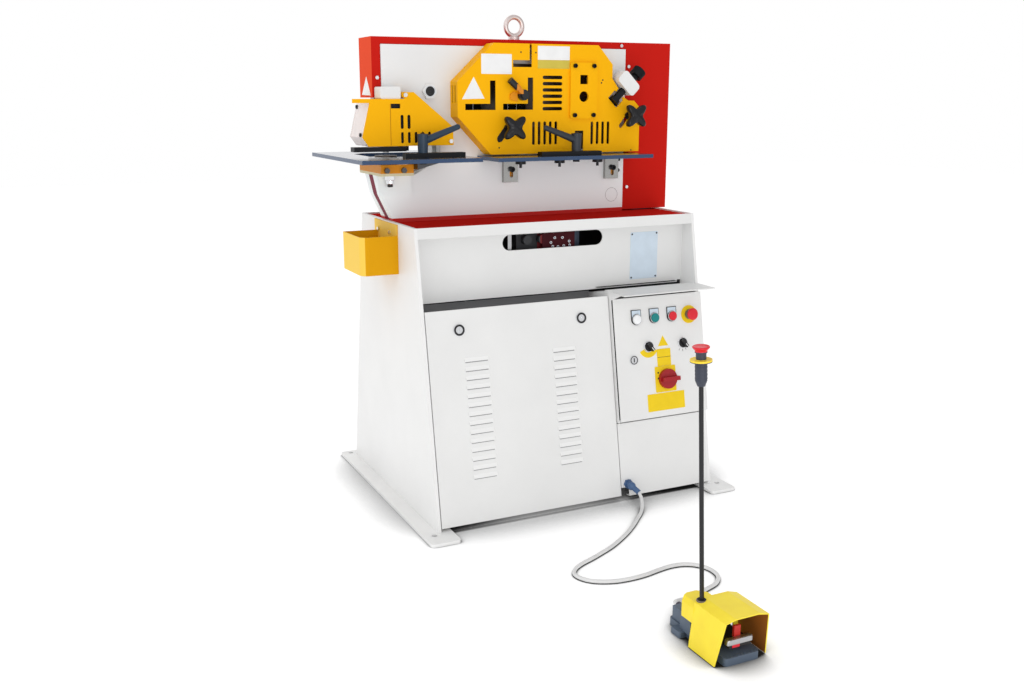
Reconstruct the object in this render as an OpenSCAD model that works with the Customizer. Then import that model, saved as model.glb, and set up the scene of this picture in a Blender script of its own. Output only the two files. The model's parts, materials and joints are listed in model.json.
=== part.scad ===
// Hydraulic ironworker: punch station, angle, bar and flat shears on a floor cabinet,
// with a corded foot pedal that carries an emergency stop on a post.
// Millimetres, +Z up, operator in front at -Y, origin on the floor amid the four anchor holes.

/* [Cabinet] */
// Width over the two side panels
cabinet_w = 1000; // [960:5:1060]
// Height of the rim above the floor
cabinet_h = 915; // [895:5:940]
// Depth of the cabinet at the rim
top_depth = 500; // [470:5:540]
// Depth of the cabinet at the floor plates
bottom_depth = 820; // [780:5:860]
// Thickness of a side panel
panel_t = 10; // [8:1:12]
// Thickness of the folded sheet panels
sheet_t = 3; // [2:0.5:4]
// Gap round doors and loose panels
door_gap = 3; // [2:0.5:4]
// Thickness of a floor plate
foot_t = 10; // [8:1:14]
// Floor plate outside its side panel
foot_out = 50; // [45:1:60]
// Floor plate inside its side panel
foot_in = 45; // [35:1:60]
// Floor plate in front of the cabinet
foot_front = 75; // [65:1:90]
// Floor plate behind the cabinet
foot_back = 35; // [30:1:60]
// Corner radius of a floor plate
foot_r = 12; // [6:1:18]
// Anchor hole diameter
anchor_d = 18; // [14:1:20]
// Anchor hole outside the side panel
anchor_x = 18; // [14:1:23]
// Anchor hole beyond the front and back of the cabinet
anchor_y = 12; // [5:1:15]
// Rim above the top plate
top_drop = 4; // [2:1:8]
// Thickness of the red top plate
top_t = 6; // [4:1:8]
// Height of the front rim
rim_h = 33; // [28:1:40]
// Thickness of the front rim
rim_t = 10; // [8:1:12]
// Front face of the recessed upper panel, from the cabinet middle
recess_y = 203; // [195:1:210]
// Lower edge of the recessed upper panel, below the rim
upper_bottom_z = 239; // [231:1:241]
// Length of the hand slot in the upper panel
oval_w = 363; // [300:1:380]
// Height of the hand slot
oval_h = 50; // [40:1:56]
// Middle of the hand slot, below the rim
oval_drop = 67; // [62:1:80]

/* [Front door] */
// Width of the front door
door_w = 633; // [620:1:645]
// Top edge of the front door, below the rim
door_top_z = 247; // [243:1:255]
// Bottom edge of the front door
door_bottom_z = 20; // [16:1:30]
// Depth of the folded door
door_depth = 20; // [16:1:24]
// Catch from the side edge of the door
catch_inset = 105; // [90:1:120]
// Catch below the top edge of the door
catch_drop = 62; // [56:1:70]
// Catch head diameter
catch_d = 36; // [30:1:40]
// Louvres in a column
louvres = 14; // [8:1:15]
// Louvre length
louvre_w = 80; // [60:1:90]
// Louvre pitch
louvre_pitch = 27.7; // [22:0.1:28]
// First louvre below the top edge of the door
louvre_drop = 155; // [140:1:165]
// Middle of the left column from the left edge
louvre_left = 156; // [140:1:170]
// Middle of the right column from the right edge
louvre_right = 174; // [160:1:190]
// Height a louvre stands out
louvre_out = 5; // [3:1:7]

/* [Control enclosure] */
// Top of the enclosure, below the rim
enc_top_z = 232; // [225:1:237]
// Bottom of the enclosure, below the rim
enc_bottom_z = 658; // [645:1:675]
// Depth of the enclosure behind the front
enc_depth = 150; // [120:1:160]
// Depth of the folded enclosure door
enc_door_t = 12; // [10:1:16]
// Enclosure door below the enclosure top
enc_door_drop = 28; // [23:1:30]
// Depth of the rain visor
visor_depth = 100; // [80:1:110]
// Push-button row below the door top
row_drop = 72; // [66:1:80]
// First push button from the left edge of the door
row_left = 84; // [76:1:90]
// Push-button pitch
row_pitch = 69; // [60:1:70]
// Push-button cap diameter
button_d = 30; // [26:1:32]
// Push-button travel
button_travel = 4; // [3:0.5:5]
// Emergency stop head diameter
stop_d = 40; // [36:1:44]
// Yellow collar diameter of an emergency stop
collar_d = 60; // [54:1:66]
// Selector row below the door top
selector_drop = 165; // [155:1:175]
// Left selector from the left edge of the door
selector_left = 124; // [115:1:135]
// Right selector from the left edge of the door
selector_right = 258; // [245:1:268]
// Main switch below the door top
main_drop = 278; // [270:1:290]
// Main switch from the left edge of the door
main_left = 188; // [175:1:200]
// Main switch knob diameter
main_d = 66; // [58:1:70]
// Door lock below the door top
lock_drop = 204; // [195:1:215]
// Door lock from the left edge of the door
lock_left = 64; // [50:1:75]

/* [Tool tray] */
// Tray size outwards from the cabinet
tray_out = 119; // [90:1:130]
// Tray length along the cabinet
tray_l = 187; // [150:1:200]
// Tray depth
tray_h = 119; // [90:1:130]
// Front face of the tray
tray_y = -109; // [-120:1:-90]
// Tray rim below the cabinet rim
tray_drop = 38; // [32:1:45]
// Rounded outer corner of the tray
tray_r = 26; // [15:1:35]

/* [Upper frame] */
// Thickness of a frame plate
plate_t = 35; // [30:1:38]
// Gap between the frame plates
plate_gap = 40; // [38:1:46]
// Middle of the frame, behind the cabinet middle
frame_y = 15; // [10:1:20]
// Left edge of the upper jaw
frame_left = -517; // [-530:1:-510]
// Right edge of the frame plates
frame_right = 348; // [340:1:356]
// Top of the frame plates, above the rim
frame_top = 537; // [530:1:545]
// Underside of the upper jaw, above the rim
jaw_z = 300; // [295:1:307]
// Top of the lower jaw, above the rim
anvil_z = 144; // [135:1:147]
// Back of the punching throat
throat_x = -327; // [-335:1:-322]
// Left end of the red cover
cover_left = -546; // [-560:1:-540]
// Right end of the red cover
cover_right = 527; // [515:1:540]
// Back of the red cover
cover_back = 82; // [78:1:95]
// Top of the red cover, above the rim
cover_top = 559; // [553:1:570]
// Underside of the cover over the throat, above the rim
cover_low_z = 379; // [370:1:385]
// Ring radius of the lifting eye
eye_r = 29; // [24:1:32]
// Bar diameter of the lifting eye
eye_bar = 16; // [12:1:18]
// Lifting eye position
eye_x = -43; // [-60:1:-20]

/* [Mechanism] */
// Rocker pivot position
pivot_x = -362; // [-370:1:-355]
// Rocker pivot height, above the rim
pivot_z = 398; // [393:1:403]
// Pivot pin diameter
pin_d = 40; // [34:1:44]
// Running clearance of shafts in bores
run_gap = 0.05; // [0.03:0.01:0.09]
// Punch axis position
punch_x = -490; // [-496:1:-484]
// Punch ram diameter
ram_d = 30; // [26:1:32]
// Punch diameter
punch_d = 20; // [16:1:24]
// Hydraulic cylinder position
cyl_x = 437; // [430:1:445]
// Hydraulic cylinder outside diameter
cyl_d = 90; // [80:1:94]
// Piston diameter
piston_d = 70; // [60:1:74]
// Piston rod diameter
piston_rod_d = 40; // [34:1:44]

/* [Shear guard] */
// Depth of the guard in front of the frame
guard_depth = 58; // [54:1:64]
// Thickness of the guard sheet
guard_t = 3; // [2:0.5:4]
// Bottom edge of the guard, above the rim
guard_bottom = 202; // [201:1:207]
// Top edge of the guard, above the rim
guard_top = 545; // [537:1:549]
// Thickness of the bar shear plate
bar_plate_t = 8; // [6:1:10]
// Square bar opening
bar_square = 29; // [24:1:32]
// Round bar opening
bar_round = 34; // [28:1:38]
// Star knob diameter
star_d = 94; // [84:1:100]
// Knurled hold-down knob diameter
knurl_d = 44; // [38:1:48]

/* [Punch station] */
// Punch guard face in front of the frame
shield_depth = 62; // [58:1:66]
// Top of the punch guard flange, above the rim
shield_top = 375; // [371:1:378]
// Bottom of the punch guard, above the rim
shield_bottom = 235; // [234:1:239]
// Thickness of the stripper
stripper_t = 14; // [10:1:15]
// Underside of the stripper, above the rim
stripper_z = 219; // [217:1:220]
// Width of the die bolster
bolster_w = 106; // [96:1:112]
// Depth of the die bolster
bolster_d = 212; // [190:1:220]
// Height of the die bolster
bolster_h = 34; // [30:1:36]
// Top of the left table, above the rim
left_top_z = 202; // [200:1:205]
// Width of the left table
left_w = 379; // [360:1:385]
// Left edge of the left table
left_x = -652; // [-660:1:-645]
// Front edge of the left table
left_front = -250; // [-260:1:-240]
// Back edge of the left table
left_back = 290; // [270:1:300]
// Thickness of both tables
table_t = 12; // [10:1:12]

/* [Shear table] */
// Top of the right table, above the rim
right_top_z = 197; // [195:1:199]
// Left edge of the right table
right_x = -200; // [-208:1:-193]
// Width of the right table
right_w = 563; // [545:1:573]
// Front edge of the right table
right_front = -205; // [-215:1:-195]
// Gauge bar height
gauge_h = 14; // [10:1:16]
// Gauge bar depth
gauge_d = 30; // [26:1:34]
// Left gauge bar length
left_gauge_l = 194; // [170:1:200]
// Right gauge bar length
right_gauge_l = 218; // [190:1:230]

/* [Foot pedal] */
// Middle of the pedal
pedal_x = -127; // [-140:1:-110]
// Front of the pedal base
pedal_front = -1400; // [-1405:1:-1395]
// Length of the pedal base
pedal_l = 235; // [220:1:240]
// Width of the pedal base
pedal_w = 100; // [90:1:106]
// Height of the hood
hood_h = 125; // [118:1:132]
// Hood width at the floor
hood_w = 152; // [140:1:160]
// Hood width at its shoulders
hood_top_w = 125; // [118:1:132]
// Post diameter
post_d = 11; // [9:0.5:13]
// Post length above the hood
post_l = 532; // [500:1:580]
// Lean of the post to the left, degrees
post_lean = 3; // [0:0.5:4]
// Grip diameter below the button
grip_d = 28; // [24:1:32]
// Grip length
grip_h = 45; // [40:1:60]
// Yellow ring diameter above the grip
ring_d = 51; // [44:1:56]
// Cord diameter
cord_d = 11; // [9:0.5:12]

/* [Inner unit] */
// Height of the oil tank's floor
tank_low = 120; // [60:1:200]
// Height of the oil tank's lid
tank_high = 420; // [300:1:480]
// Middle of the motor, across the machine
motor_x = -120; // [-250:1:100]
// Motor body diameter
motor_d = 160; // [120:1:200]
// Motor body height
motor_h = 230; // [160:1:260]

/* [Hidden] */
tank_y = 60;
$fn = 48;

white = [0.93, 0.93, 0.91];
red = [0.70, 0.08, 0.08];
yellow = [0.97, 0.70, 0.06];
bright_yellow = [0.98, 0.86, 0.16];
steel = [0.62, 0.63, 0.65];
dark_steel = [0.25, 0.26, 0.28];
black = [0.09, 0.09, 0.10];
blue_grey = [0.26, 0.34, 0.42];
chrome = [0.80, 0.81, 0.83];

// Cabinet
half_w = cabinet_w / 2;
inner_x = half_w - panel_t;
front_slant = atan((bottom_depth - top_depth) / 2 / (cabinet_h - foot_t));
top_z = cabinet_h - top_drop;
seat_z = -top_drop;
upper_low = cabinet_h - upper_bottom_z;
door_top = cabinet_h - door_top_z;
enc_top = cabinet_h - enc_top_z;
enc_low = cabinet_h - enc_bottom_z;
door_l = -inner_x + door_gap;
door_r = door_l + door_w;
catch_v = up_front(door_top) - catch_drop;
catch_shaft_d = 16;
catch_cam_l = 34;
rail_y = door_depth + 1;
rail_d = 22;
enc_l = door_r + door_gap;
enc_door_l = enc_l + sheet_t + door_gap;
enc_door_r = half_w - 1;
enc_seat = 0.5;
enc_face = -enc_seat - enc_door_t;
enc_door_top_v = up_front(enc_top) - enc_door_drop;
enc_door_bottom_v = up_front(enc_low) + door_gap;
shaft_gap = 0.4;
button_shaft_d = 16;
button_row_v = enc_door_top_v - row_drop;
selector_v = enc_door_top_v - selector_drop;
lamp_x = enc_door_l + row_left;
start_x = lamp_x + row_pitch;
stop_x = start_x + row_pitch;
emergency_x = stop_x + row_pitch;
main_x = enc_door_l + main_left;
main_v = enc_door_top_v - main_drop;
lock_x = enc_door_l + lock_left;
lock_v = enc_door_top_v - lock_drop;
legend_t = 3;
legend_w = 37;
plate_lift = 2;

// Upper frame and mechanism
plate_front = frame_y - plate_gap / 2 - plate_t;
plate_back = frame_y + plate_gap / 2 + plate_t;
gap_front = frame_y - plate_gap / 2;
gap_back = frame_y + plate_gap / 2;
frame_foot_left = frame_left + 30;
frame_nose = frame_left - 25;
window_l = -275;
window_r = 230;
window_b = 285;
window_t = 485;
fit_gap = 0.3;
cover_t = 3;
cover_front = plate_front + 2;
cover_seam = 1;
rocker_t = plate_gap - 4;
rocker_drop = 45;
guide_h = 30;
ram_top = pivot_z - rocker_drop - 1.5;
rod_top = pivot_z - rocker_drop - 3;
cyl_foot_h = 14;
cyl_top = 275;

// Guards
guard_face = plate_front - guard_depth;
guard_left = -291;
guard_right = 372;
guard_low_l = -178;
shield_face = plate_front - shield_depth;
shield_bend_x = frame_left + 5;
bar_plate_x = 153;
bar_plate_z = 401;
bar_plate_w = 100;
bar_plate_h = 178;
square_z = bar_plate_z + 35;
round_z = bar_plate_z - 19;
angle_slots = [[-161, 341, 104, 90], [-29, 341, 106, 100]];
angle_leg = 19;
blade_seams = [-148, 70];
hold_x = 322;
hold_z = 419;
hold_y = guard_face;
left_star = [-118, 286];
right_star = [327, 320];
star_out = 42;
handle_pos = [-68, 387];

// Tables
notch_l = left_x + 92;
notch_front = left_front + 140;
notch_back = left_back - 125;
gauge_y_left = left_front + 95;
gauge_y_right = right_front + 38;
left_gauge_x = -393;
left_lever_x = -430;
right_gauge_x = 70;
right_lever_x = 93;
stud_d = 10;
stud_slot = 76;

// Pedal and cord
pedal_back = pedal_front + pedal_l;
hood_t = 3;
hood_front = pedal_front - 12;
hood_step = pedal_front + 113;
hood_rear = pedal_front + 172;
post_x = pedal_x - 42;
post_y = pedal_front + 108;
post_foot_z = 70;
hood_rear_w = pedal_w - 20;
hood_rear_x = pedal_x - 26;
hood_rear_h = hood_h - 13;
block_w = pedal_w + 14;
grip_taper = 13;
ring_t = 5;
neck_d = 24;
neck_h = 19;
treadle_y = pedal_front + 122;
treadle_z = 44;
treadle_pin_d = 12;
hood_skirt_z = 62;
gland_x = 173;
gland_z = 56;
gland_d = 22;
cord_exit = [186, -450, 40];
cord_points = [cord_exit, [184, -467, 30], [176, -486, 19], [162, -508, 11], [142, -532, 7], [116, -558, 6],
    [74, -600, 6], [26, -642, 6], [-22, -678, 6], [-72, -711, 6], [-122, -737, 6], [-168, -759, 6],
    [-206, -775, 6], [-240, -796, 6], [-260, -826, 6], [-255, -860, 6], [-230, -890, 6], [-184, -911, 6],
    [-134, -917, 6], [-84, -914, 6], [-36, -904, 6], [8, -898, 6], [46, -903, 6], [78, -923, 6],
    [97, -960, 6], [93, -1004, 6], [62, -1040, 6], [12, -1060, 6], [-32, -1075, 7], [-76, -1091, 12],
    [-112, -1108, 22], [-134, -1130, 32], [-140, -1152, 36]];

// Height on the slanted front for a height above the floor
function up_front(z) = (z - foot_t) / cos(front_slant);
function front_y(z) = -bottom_depth / 2 + (z - foot_t) * tan(front_slant);

// Slanted front plane: x across, y inwards, z up the slope
module on_front() {
    translate([0, -bottom_depth / 2, foot_t]) rotate([-front_slant, 0, 0]) children();
}

// Rim of the cabinet, from which the upper works are measured
module on_rim() { translate([0, 0, cabinet_h]) children(); }

// Flat outlines drawn out along one axis
module plate_x(x, t) { translate([x, 0, 0]) rotate([90, 0, 90]) linear_extrude(t) children(); }
module plate_y(y, t) { translate([0, y + t, 0]) rotate([90, 0, 0]) linear_extrude(t) children(); }
module plate_z(z, t) { translate([0, 0, z]) linear_extrude(t) children(); }

// Box between two corners
module box(low, high) { translate(low) cube(high - low); }

// Round bar along Y
module bar_y(x, z, y0, y1, d) {
    translate([x, y0, z]) rotate([-90, 0, 0]) cylinder(h = y1 - y0, d = d);
}

// Rectangle about the origin with round corners
module round_rect(w, h, r) {
    square([w - 2 * r, h], center = true);
    square([w, h - 2 * r], center = true);
    for (sx = [-1, 1], sy = [-1, 1]) translate([sx * (w / 2 - r), sy * (h / 2 - r)]) circle(r);
}

// Slot about the origin with round ends
module slot(l, w) {
    square([l - w, w], center = true);
    for (s = [-1, 1]) translate([s * (l - w) / 2, 0]) circle(d = w);
}

// Open-backed pan of folded sheet, front face at y = 0
module pan(low, high, depth, t) {
    difference() {
        box([low[0], 0, low[1]], [high[0], depth, high[1]]);
        box([low[0] + t, t, low[1] + t], [high[0] - t, depth + 1, high[1] - t]);
    }
}

// Side panel and its welded floor plate, drawn for the left side
module side_panel() {
    foot_l = bottom_depth + foot_front + foot_back;
    plate_x(-half_w, panel_t) polygon([[-bottom_depth / 2, foot_t], [bottom_depth / 2, foot_t],
        [top_depth / 2, cabinet_h], [-top_depth / 2, cabinet_h]]);
    difference() {
        translate([-half_w + (foot_in - foot_out) / 2, (foot_back - foot_front) / 2, 0])
            linear_extrude(foot_t) round_rect(foot_out + foot_in, foot_l, foot_r);
        for (s = [-1, 1]) translate([-half_w - anchor_x, s * (bottom_depth / 2 + anchor_y), -1])
            cylinder(h = foot_t + 2, d = anchor_d);
    }
}

module left_side_panel() { color(white) side_panel(); }

module right_side_panel() { color(white) mirror([1, 0, 0]) side_panel(); }

module back_panel() {
    vents = 6;
    color(white) mirror([0, 1, 0]) on_front() difference() {
        box([-inner_x, 0, up_front(door_bottom_z)], [inner_x, sheet_t, up_front(cabinet_h)]);
        for (i = [0:vents - 1], sx = [-1, 1])
            translate([sx * half_w / 2, -1, up_front(cabinet_h / 2) + i * 2 * door_depth])
                rotate([-90, 0, 0]) linear_extrude(sheet_t + 2) slot(2 * louvre_w, 12);
    }
}

module cabinet_top() {
    y = top_depth / 2 - rim_t - 2;
    color(red) box([-inner_x, -y, top_z - top_t], [inner_x, y, top_z]);
}

module upper_front_panel() {
    soffit_z = cabinet_h - rim_h;
    color(white) {
        difference() {
            box([-inner_x, -recess_y, upper_low], [inner_x, sheet_t - recess_y, soffit_z]);
            translate([-6, sheet_t + 1 - recess_y, cabinet_h - oval_drop]) rotate([90, 0, 0])
                linear_extrude(sheet_t + 2) slot(oval_w, oval_h);
            box([inner_x - 15, -recess_y - 1, upper_low - 1],
                [inner_x + 1, sheet_t + 1 - recess_y, upper_low + 8]);
        }
        box([-inner_x, front_y(soffit_z) + 1, soffit_z], [inner_x, sheet_t - recess_y, soffit_z + sheet_t]);
        on_front() box([-inner_x, 0, up_front(soffit_z)], [inner_x, rim_t, up_front(cabinet_h)]);
    }
}

module right_front_panel() {
    low = up_front(foot_t + 6);
    color(white) on_front() difference() {
        pan([enc_l, low], [inner_x, up_front(enc_low) - door_gap], door_depth, sheet_t);
        box([enc_l - 1, -1, low - 1], [enc_l + 28, door_depth + 1, low + 30]);
        translate([gland_x, -1, up_front(gland_z)]) rotate([-90, 0, 0])
            cylinder(h = sheet_t + 2, d = gland_d - 4);
    }
}

module door_rail() {
    low = up_front(door_top) - 45;
    high = low + 40;
    sill = rail_y + 110;
    color(dark_steel) on_front() plate_x(-inner_x, inner_x + enc_l) polygon([[rail_y, low],
        [rail_y + rail_d, low], [rail_y + rail_d, low + sheet_t], [rail_y + sheet_t, low + sheet_t],
        [rail_y + sheet_t, high - sheet_t], [sill, high - sheet_t], [sill, high + 24],
        [sill - sheet_t, high + 24], [sill - sheet_t, high], [rail_y, high]]);
}

// Pressed louvre, open underneath
module louvre() {
    translate([-louvre_w / 2, 0, 0]) rotate([90, 0, 90]) linear_extrude(louvre_w)
        polygon([[0.5, -6], [-louvre_out, -6], [0.5, 7]]);
}

module front_door() {
    low = up_front(door_bottom_z);
    high = up_front(door_top);
    last = min(louvres - 1, floor((high - louvre_drop - low - 110) / louvre_pitch));
    color(white) on_front() {
        difference() {
            pan([door_l, low], [door_r, high], door_depth, sheet_t);
            for (x = [door_l + catch_inset, door_r - catch_inset])
                translate([x, -1, catch_v]) rotate([-90, 0, 0])
                    cylinder(h = sheet_t + 2, d = catch_shaft_d + 2 * shaft_gap);
        }
        for (x = [door_l + louvre_left, door_r - louvre_right], i = [0:last])
            translate([x, 0, high - louvre_drop - i * louvre_pitch]) louvre();
    }
}

// Quarter-turn catch with its cam behind the door, turned free
module door_catch(x) {
    cam_y = rail_y + rail_d + 3;
    color(chrome) on_front() translate([x, 0, catch_v]) difference() {
        union() {
            rotate([90, 0, 0]) translate([0, 0, fit_gap]) cylinder(h = 5, d = catch_d);
            translate([0, -fit_gap, 0]) rotate([-90, 0, 0]) cylinder(h = cam_y + 4, d = catch_shaft_d);
            box([-6, cam_y - 1, -6], [catch_cam_l, cam_y + 3, 6]);
        }
        translate([-2, -6, -9]) cube([4, 4, 18]);
    }
}

module left_door_catch() { door_catch(door_l + catch_inset); }

module right_door_catch() { door_catch(door_r - catch_inset); }

module enclosure_box() {
    low = up_front(enc_low);
    high = up_front(enc_top);
    visor_y = front_y(enc_top);
    lap = 0.4;
    color(white) {
        on_front() {
            pan_back([enc_l, low], [inner_x, high]);
            box([enc_l + lap, enc_face, low + lap], [enc_l + sheet_t - lap, sheet_t, high - lap]);
        }
        plate_z(enc_top - sheet_t, sheet_t + lap) polygon([[enc_l - lap, visor_y - visor_depth],
            [half_w, visor_y - visor_depth], [half_w, visor_y - 2], [inner_x - lap, visor_y - 2],
            [inner_x - lap, visor_y + 20], [enc_l - lap, visor_y + 20]]);
        plate_x(enc_l + 2 * lap, sheet_t - 4 * lap) polygon([[visor_y - visor_depth + 15, enc_top - 1],
            [visor_y, enc_top - 1], [visor_y - enc_door_t, enc_top - 30]]);
    }
}

// Box of sheet, open at the front
module pan_back(low, high) {
    difference() {
        box([low[0], 0, low[1]], [high[0], enc_depth, high[1]]);
        box([low[0] + sheet_t, -1, low[1] + sheet_t],
            [high[0] - sheet_t, enc_depth - sheet_t, high[1] - sheet_t]);
    }
}

// Hole for a control shaft in the enclosure door
module control_hole(x, v) {
    translate([x, enc_face - 1, v]) rotate([-90, 0, 0])
        cylinder(h = sheet_t + 2, d = button_shaft_d + 2 * shaft_gap);
}

module enclosure_door() {
    color(white) on_front() difference() {
        translate([0, enc_face, 0])
            pan([enc_door_l, enc_door_bottom_v], [enc_door_r, enc_door_top_v], enc_door_t, sheet_t);
        for (x = [lamp_x, start_x, stop_x, emergency_x]) control_hole(x, button_row_v);
        control_hole(enc_door_l + selector_left, selector_v);
        control_hole(enc_door_l + selector_right, selector_v);
        control_hole(main_x, main_v);
        control_hole(lock_x, lock_v);
    }
}

// Place a control on the enclosure door, z outwards
module control(x, v) { on_front() translate([x, enc_face, v]) rotate([90, 0, 0]) children(); }

// Shaft behind a control, through the door sheet
module control_shaft(l) { translate([0, 0, -l]) cylinder(h = l + 1, d = button_shaft_d); }

module legend_plates() {
    for (x = [lamp_x, start_x, stop_x]) control(x, button_row_v) color(dark_steel) difference() {
        union() {
            translate([-legend_w / 2, 0, 0]) cube([legend_w, legend_w - 6, legend_t]);
            cylinder(h = legend_t, d = legend_w);
            cylinder(h = legend_t + 4, d = button_d + 5);
        }
        translate([0, 0, -1]) cylinder(h = legend_t + 6, d = button_d + 2 * shaft_gap);
    }
    control(lamp_x, button_row_v) color(white) {
        control_shaft(sheet_t + 18);
        cylinder(h = legend_t + 5, d = button_d);
        translate([0, 0, legend_t + 5]) cylinder(h = 4, d1 = button_d, d2 = button_d - 8);
    }
}

module push_button(x) {
    control(x, button_row_v) {
        control_shaft(sheet_t + 14);
        translate([0, 0, button_travel + fit_gap]) cylinder(h = legend_t + 4, d = button_d - 1);
        cylinder(h = button_travel + 1, d = button_shaft_d);
    }
}

module start_button() { color("green") push_button(start_x); }

module stop_button() { color("crimson") push_button(stop_x); }

module switch_plates() {
    color(bright_yellow) {
        control(emergency_x, button_row_v) difference() {
            cylinder(h = plate_lift, d = collar_d);
            translate([0, 0, -1]) cylinder(h = plate_lift + 2, d = button_shaft_d + 2 * shaft_gap);
        }
        control(main_x, main_v) difference() {
            linear_extrude(plate_lift) translate([-5, 0]) round_rect(80, 86, 4);
            translate([0, 0, -1]) cylinder(h = plate_lift + 2, d = button_shaft_d + 2 * shaft_gap);
        }
    }
}

// Mushroom head on its stem, z along the stem
module mushroom(stem) {
    rotate_extrude() polygon([[0, 0], [button_shaft_d / 2, 0], [button_shaft_d / 2, stem],
        [stop_d / 2 - 3, stem], [stop_d / 2, stem + 4], [stop_d / 2, stem + 8],
        [stop_d / 2 - 5, stem + 12], [0, stem + 13]]);
}

module emergency_button() {
    color("crimson") control(emergency_x, button_row_v) {
        control_shaft(sheet_t + 14);
        mushroom(plate_lift + button_travel + 12);
    }
}

// Selector knob with a raised bar
module selector(x) {
    color(black) control(x, selector_v) {
        control_shaft(sheet_t + 14);
        translate([0, 0, fit_gap]) cylinder(h = 8, d = button_d);
        rotate(-50) translate([-13, -5, 7]) cube([30, 10, 13]);
    }
}

module left_selector() { selector(enc_door_l + selector_left); }

module right_selector() { selector(enc_door_l + selector_right); }

module main_switch_knob() {
    color("crimson") control(main_x, main_v) {
        control_shaft(sheet_t + 14);
        translate([0, 0, plate_lift + fit_gap]) cylinder(h = 12, d = main_d);
        translate([-main_d / 2 + 5, -7, plate_lift + 11]) cube([main_d - 2, 14, 16]);
    }
}

module enclosure_lock() {
    color(chrome) control(lock_x, lock_v) difference() {
        union() {
            control_shaft(enc_door_t + 10);
            translate([0, 0, fit_gap]) cylinder(h = 5, d = 30);
            translate([-6, -30, -enc_door_t - 10]) cube([12, 36, 3]);
        }
        translate([-2, -7, 3]) cube([4, 14, 4]);
    }
}

module tool_tray() {
    rim_z = cabinet_h - tray_drop;
    low_z = rim_z - tray_h;
    color(yellow) {
        difference() {
            plate_z(low_z, tray_h) tray_outline(0);
            plate_z(low_z + sheet_t, tray_h) tray_outline(sheet_t);
        }
        difference() {
            box([-half_w - sheet_t, tray_y, low_z], [-half_w, tray_y + tray_l + 30, cabinet_h - 4]);
            for (y = tray_holes) translate([-half_w - sheet_t - 1, y, cabinet_h - tray_hole_drop])
                rotate([0, 90, 0]) cylinder(h = sheet_t + 2, d = 8);
        }
    }
}

tray_holes = [tray_y + 64, tray_y + 176];
tray_hole_drop = 33;

// Tray plan, round at its outer front corner
module tray_outline(wall) {
    x0 = -half_w - tray_out + wall;
    x1 = -half_w - wall;
    y0 = tray_y + wall;
    y1 = tray_y + tray_l - wall;
    r = tray_r - wall;
    translate([x0 + r, y0]) square([x1 - x0 - r, y1 - y0]);
    translate([x0, y0 + r]) square([x1 - x0, y1 - y0 - r]);
    translate([x0 + r, y0 + r]) circle(r);
}

// Elbow gland that turns the cord down and to the right
module cable_gland() {
    base = [gland_x, front_y(gland_z), gland_z];
    knee = base + [0, -24, 0];
    reach = cord_exit - knee;
    color(blue_grey) {
        on_front() translate([gland_x, 0, up_front(gland_z)]) rotate([90, 0, 0]) {
            cylinder(h = 8, d = gland_d + 10, $fn = 6);
            cylinder(h = 20, d = gland_d);
            translate([0, 0, -sheet_t - 6]) cylinder(h = sheet_t + 7, d = gland_d - 5);
        }
        translate(knee) sphere(d = gland_d + 5);
        translate(knee) rotate([0, acos(reach[2] / norm(reach)), atan2(reach[1], reach[0])])
            cylinder(h = norm(reach), d = gland_d - 4);
    }
}

// Point of a smooth curve through p at position t between points i and i + 1
function spline(p, i, t) = let (n = len(p) - 1, a = p[max(i - 1, 0)], b = p[i], c = p[min(i + 1, n)],
    d = p[min(i + 2, n)]) 0.5 * (2 * b + (c - a) * t + (2 * a - 5 * b + 4 * c - d) * t * t
    + (3 * b - a - 3 * c + d) * t * t * t);

// Rings of a tube along path p
function unit(a) = a / norm(a);
function ring(p, i, d, sides) = let (n = len(p) - 1, along = unit(p[min(i + 1, n)] - p[max(i - 1, 0)]),
    side = unit(cross(along, [0, 0, 1])), up = cross(side, along))
    [for (k = [0:sides - 1]) p[i] + d / 2 * (cos(360 * k / sides) * side + sin(360 * k / sides) * up)];

module tube(p, d, sides) {
    rings = len(p);
    points = concat([for (i = [0:rings - 1]) each ring(p, i, d, sides)], [p[0], p[rings - 1]]);
    walls = [for (i = [0:rings - 2], k = [0:sides - 1]) let (a = i * sides + k,
        b = i * sides + (k + 1) % sides) each [[a, b, b + sides], [a, b + sides, a + sides]]];
    first = [for (k = [0:sides - 1]) [rings * sides, (k + 1) % sides, k]];
    last = [for (k = [0:sides - 1]) [rings * sides + 1, (rings - 1) * sides + k,
        (rings - 1) * sides + (k + 1) % sides]];
    polyhedron(points, concat(walls, first, last));
}

module pedal_cord() {
    path = concat([for (i = [0:len(cord_points) - 2], t = [0, 0.5]) spline(cord_points, i, t)],
        [cord_points[len(cord_points) - 1]]);
    color("gainsboro") tube(path, cord_d, 10);
}

// Axis of the leaning post, from its foot on the pedal base
module on_post(up) {
    translate([post_x, post_y, post_foot_z]) rotate([0, -post_lean, 0]) translate([0, 0, up]) children();
}

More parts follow.
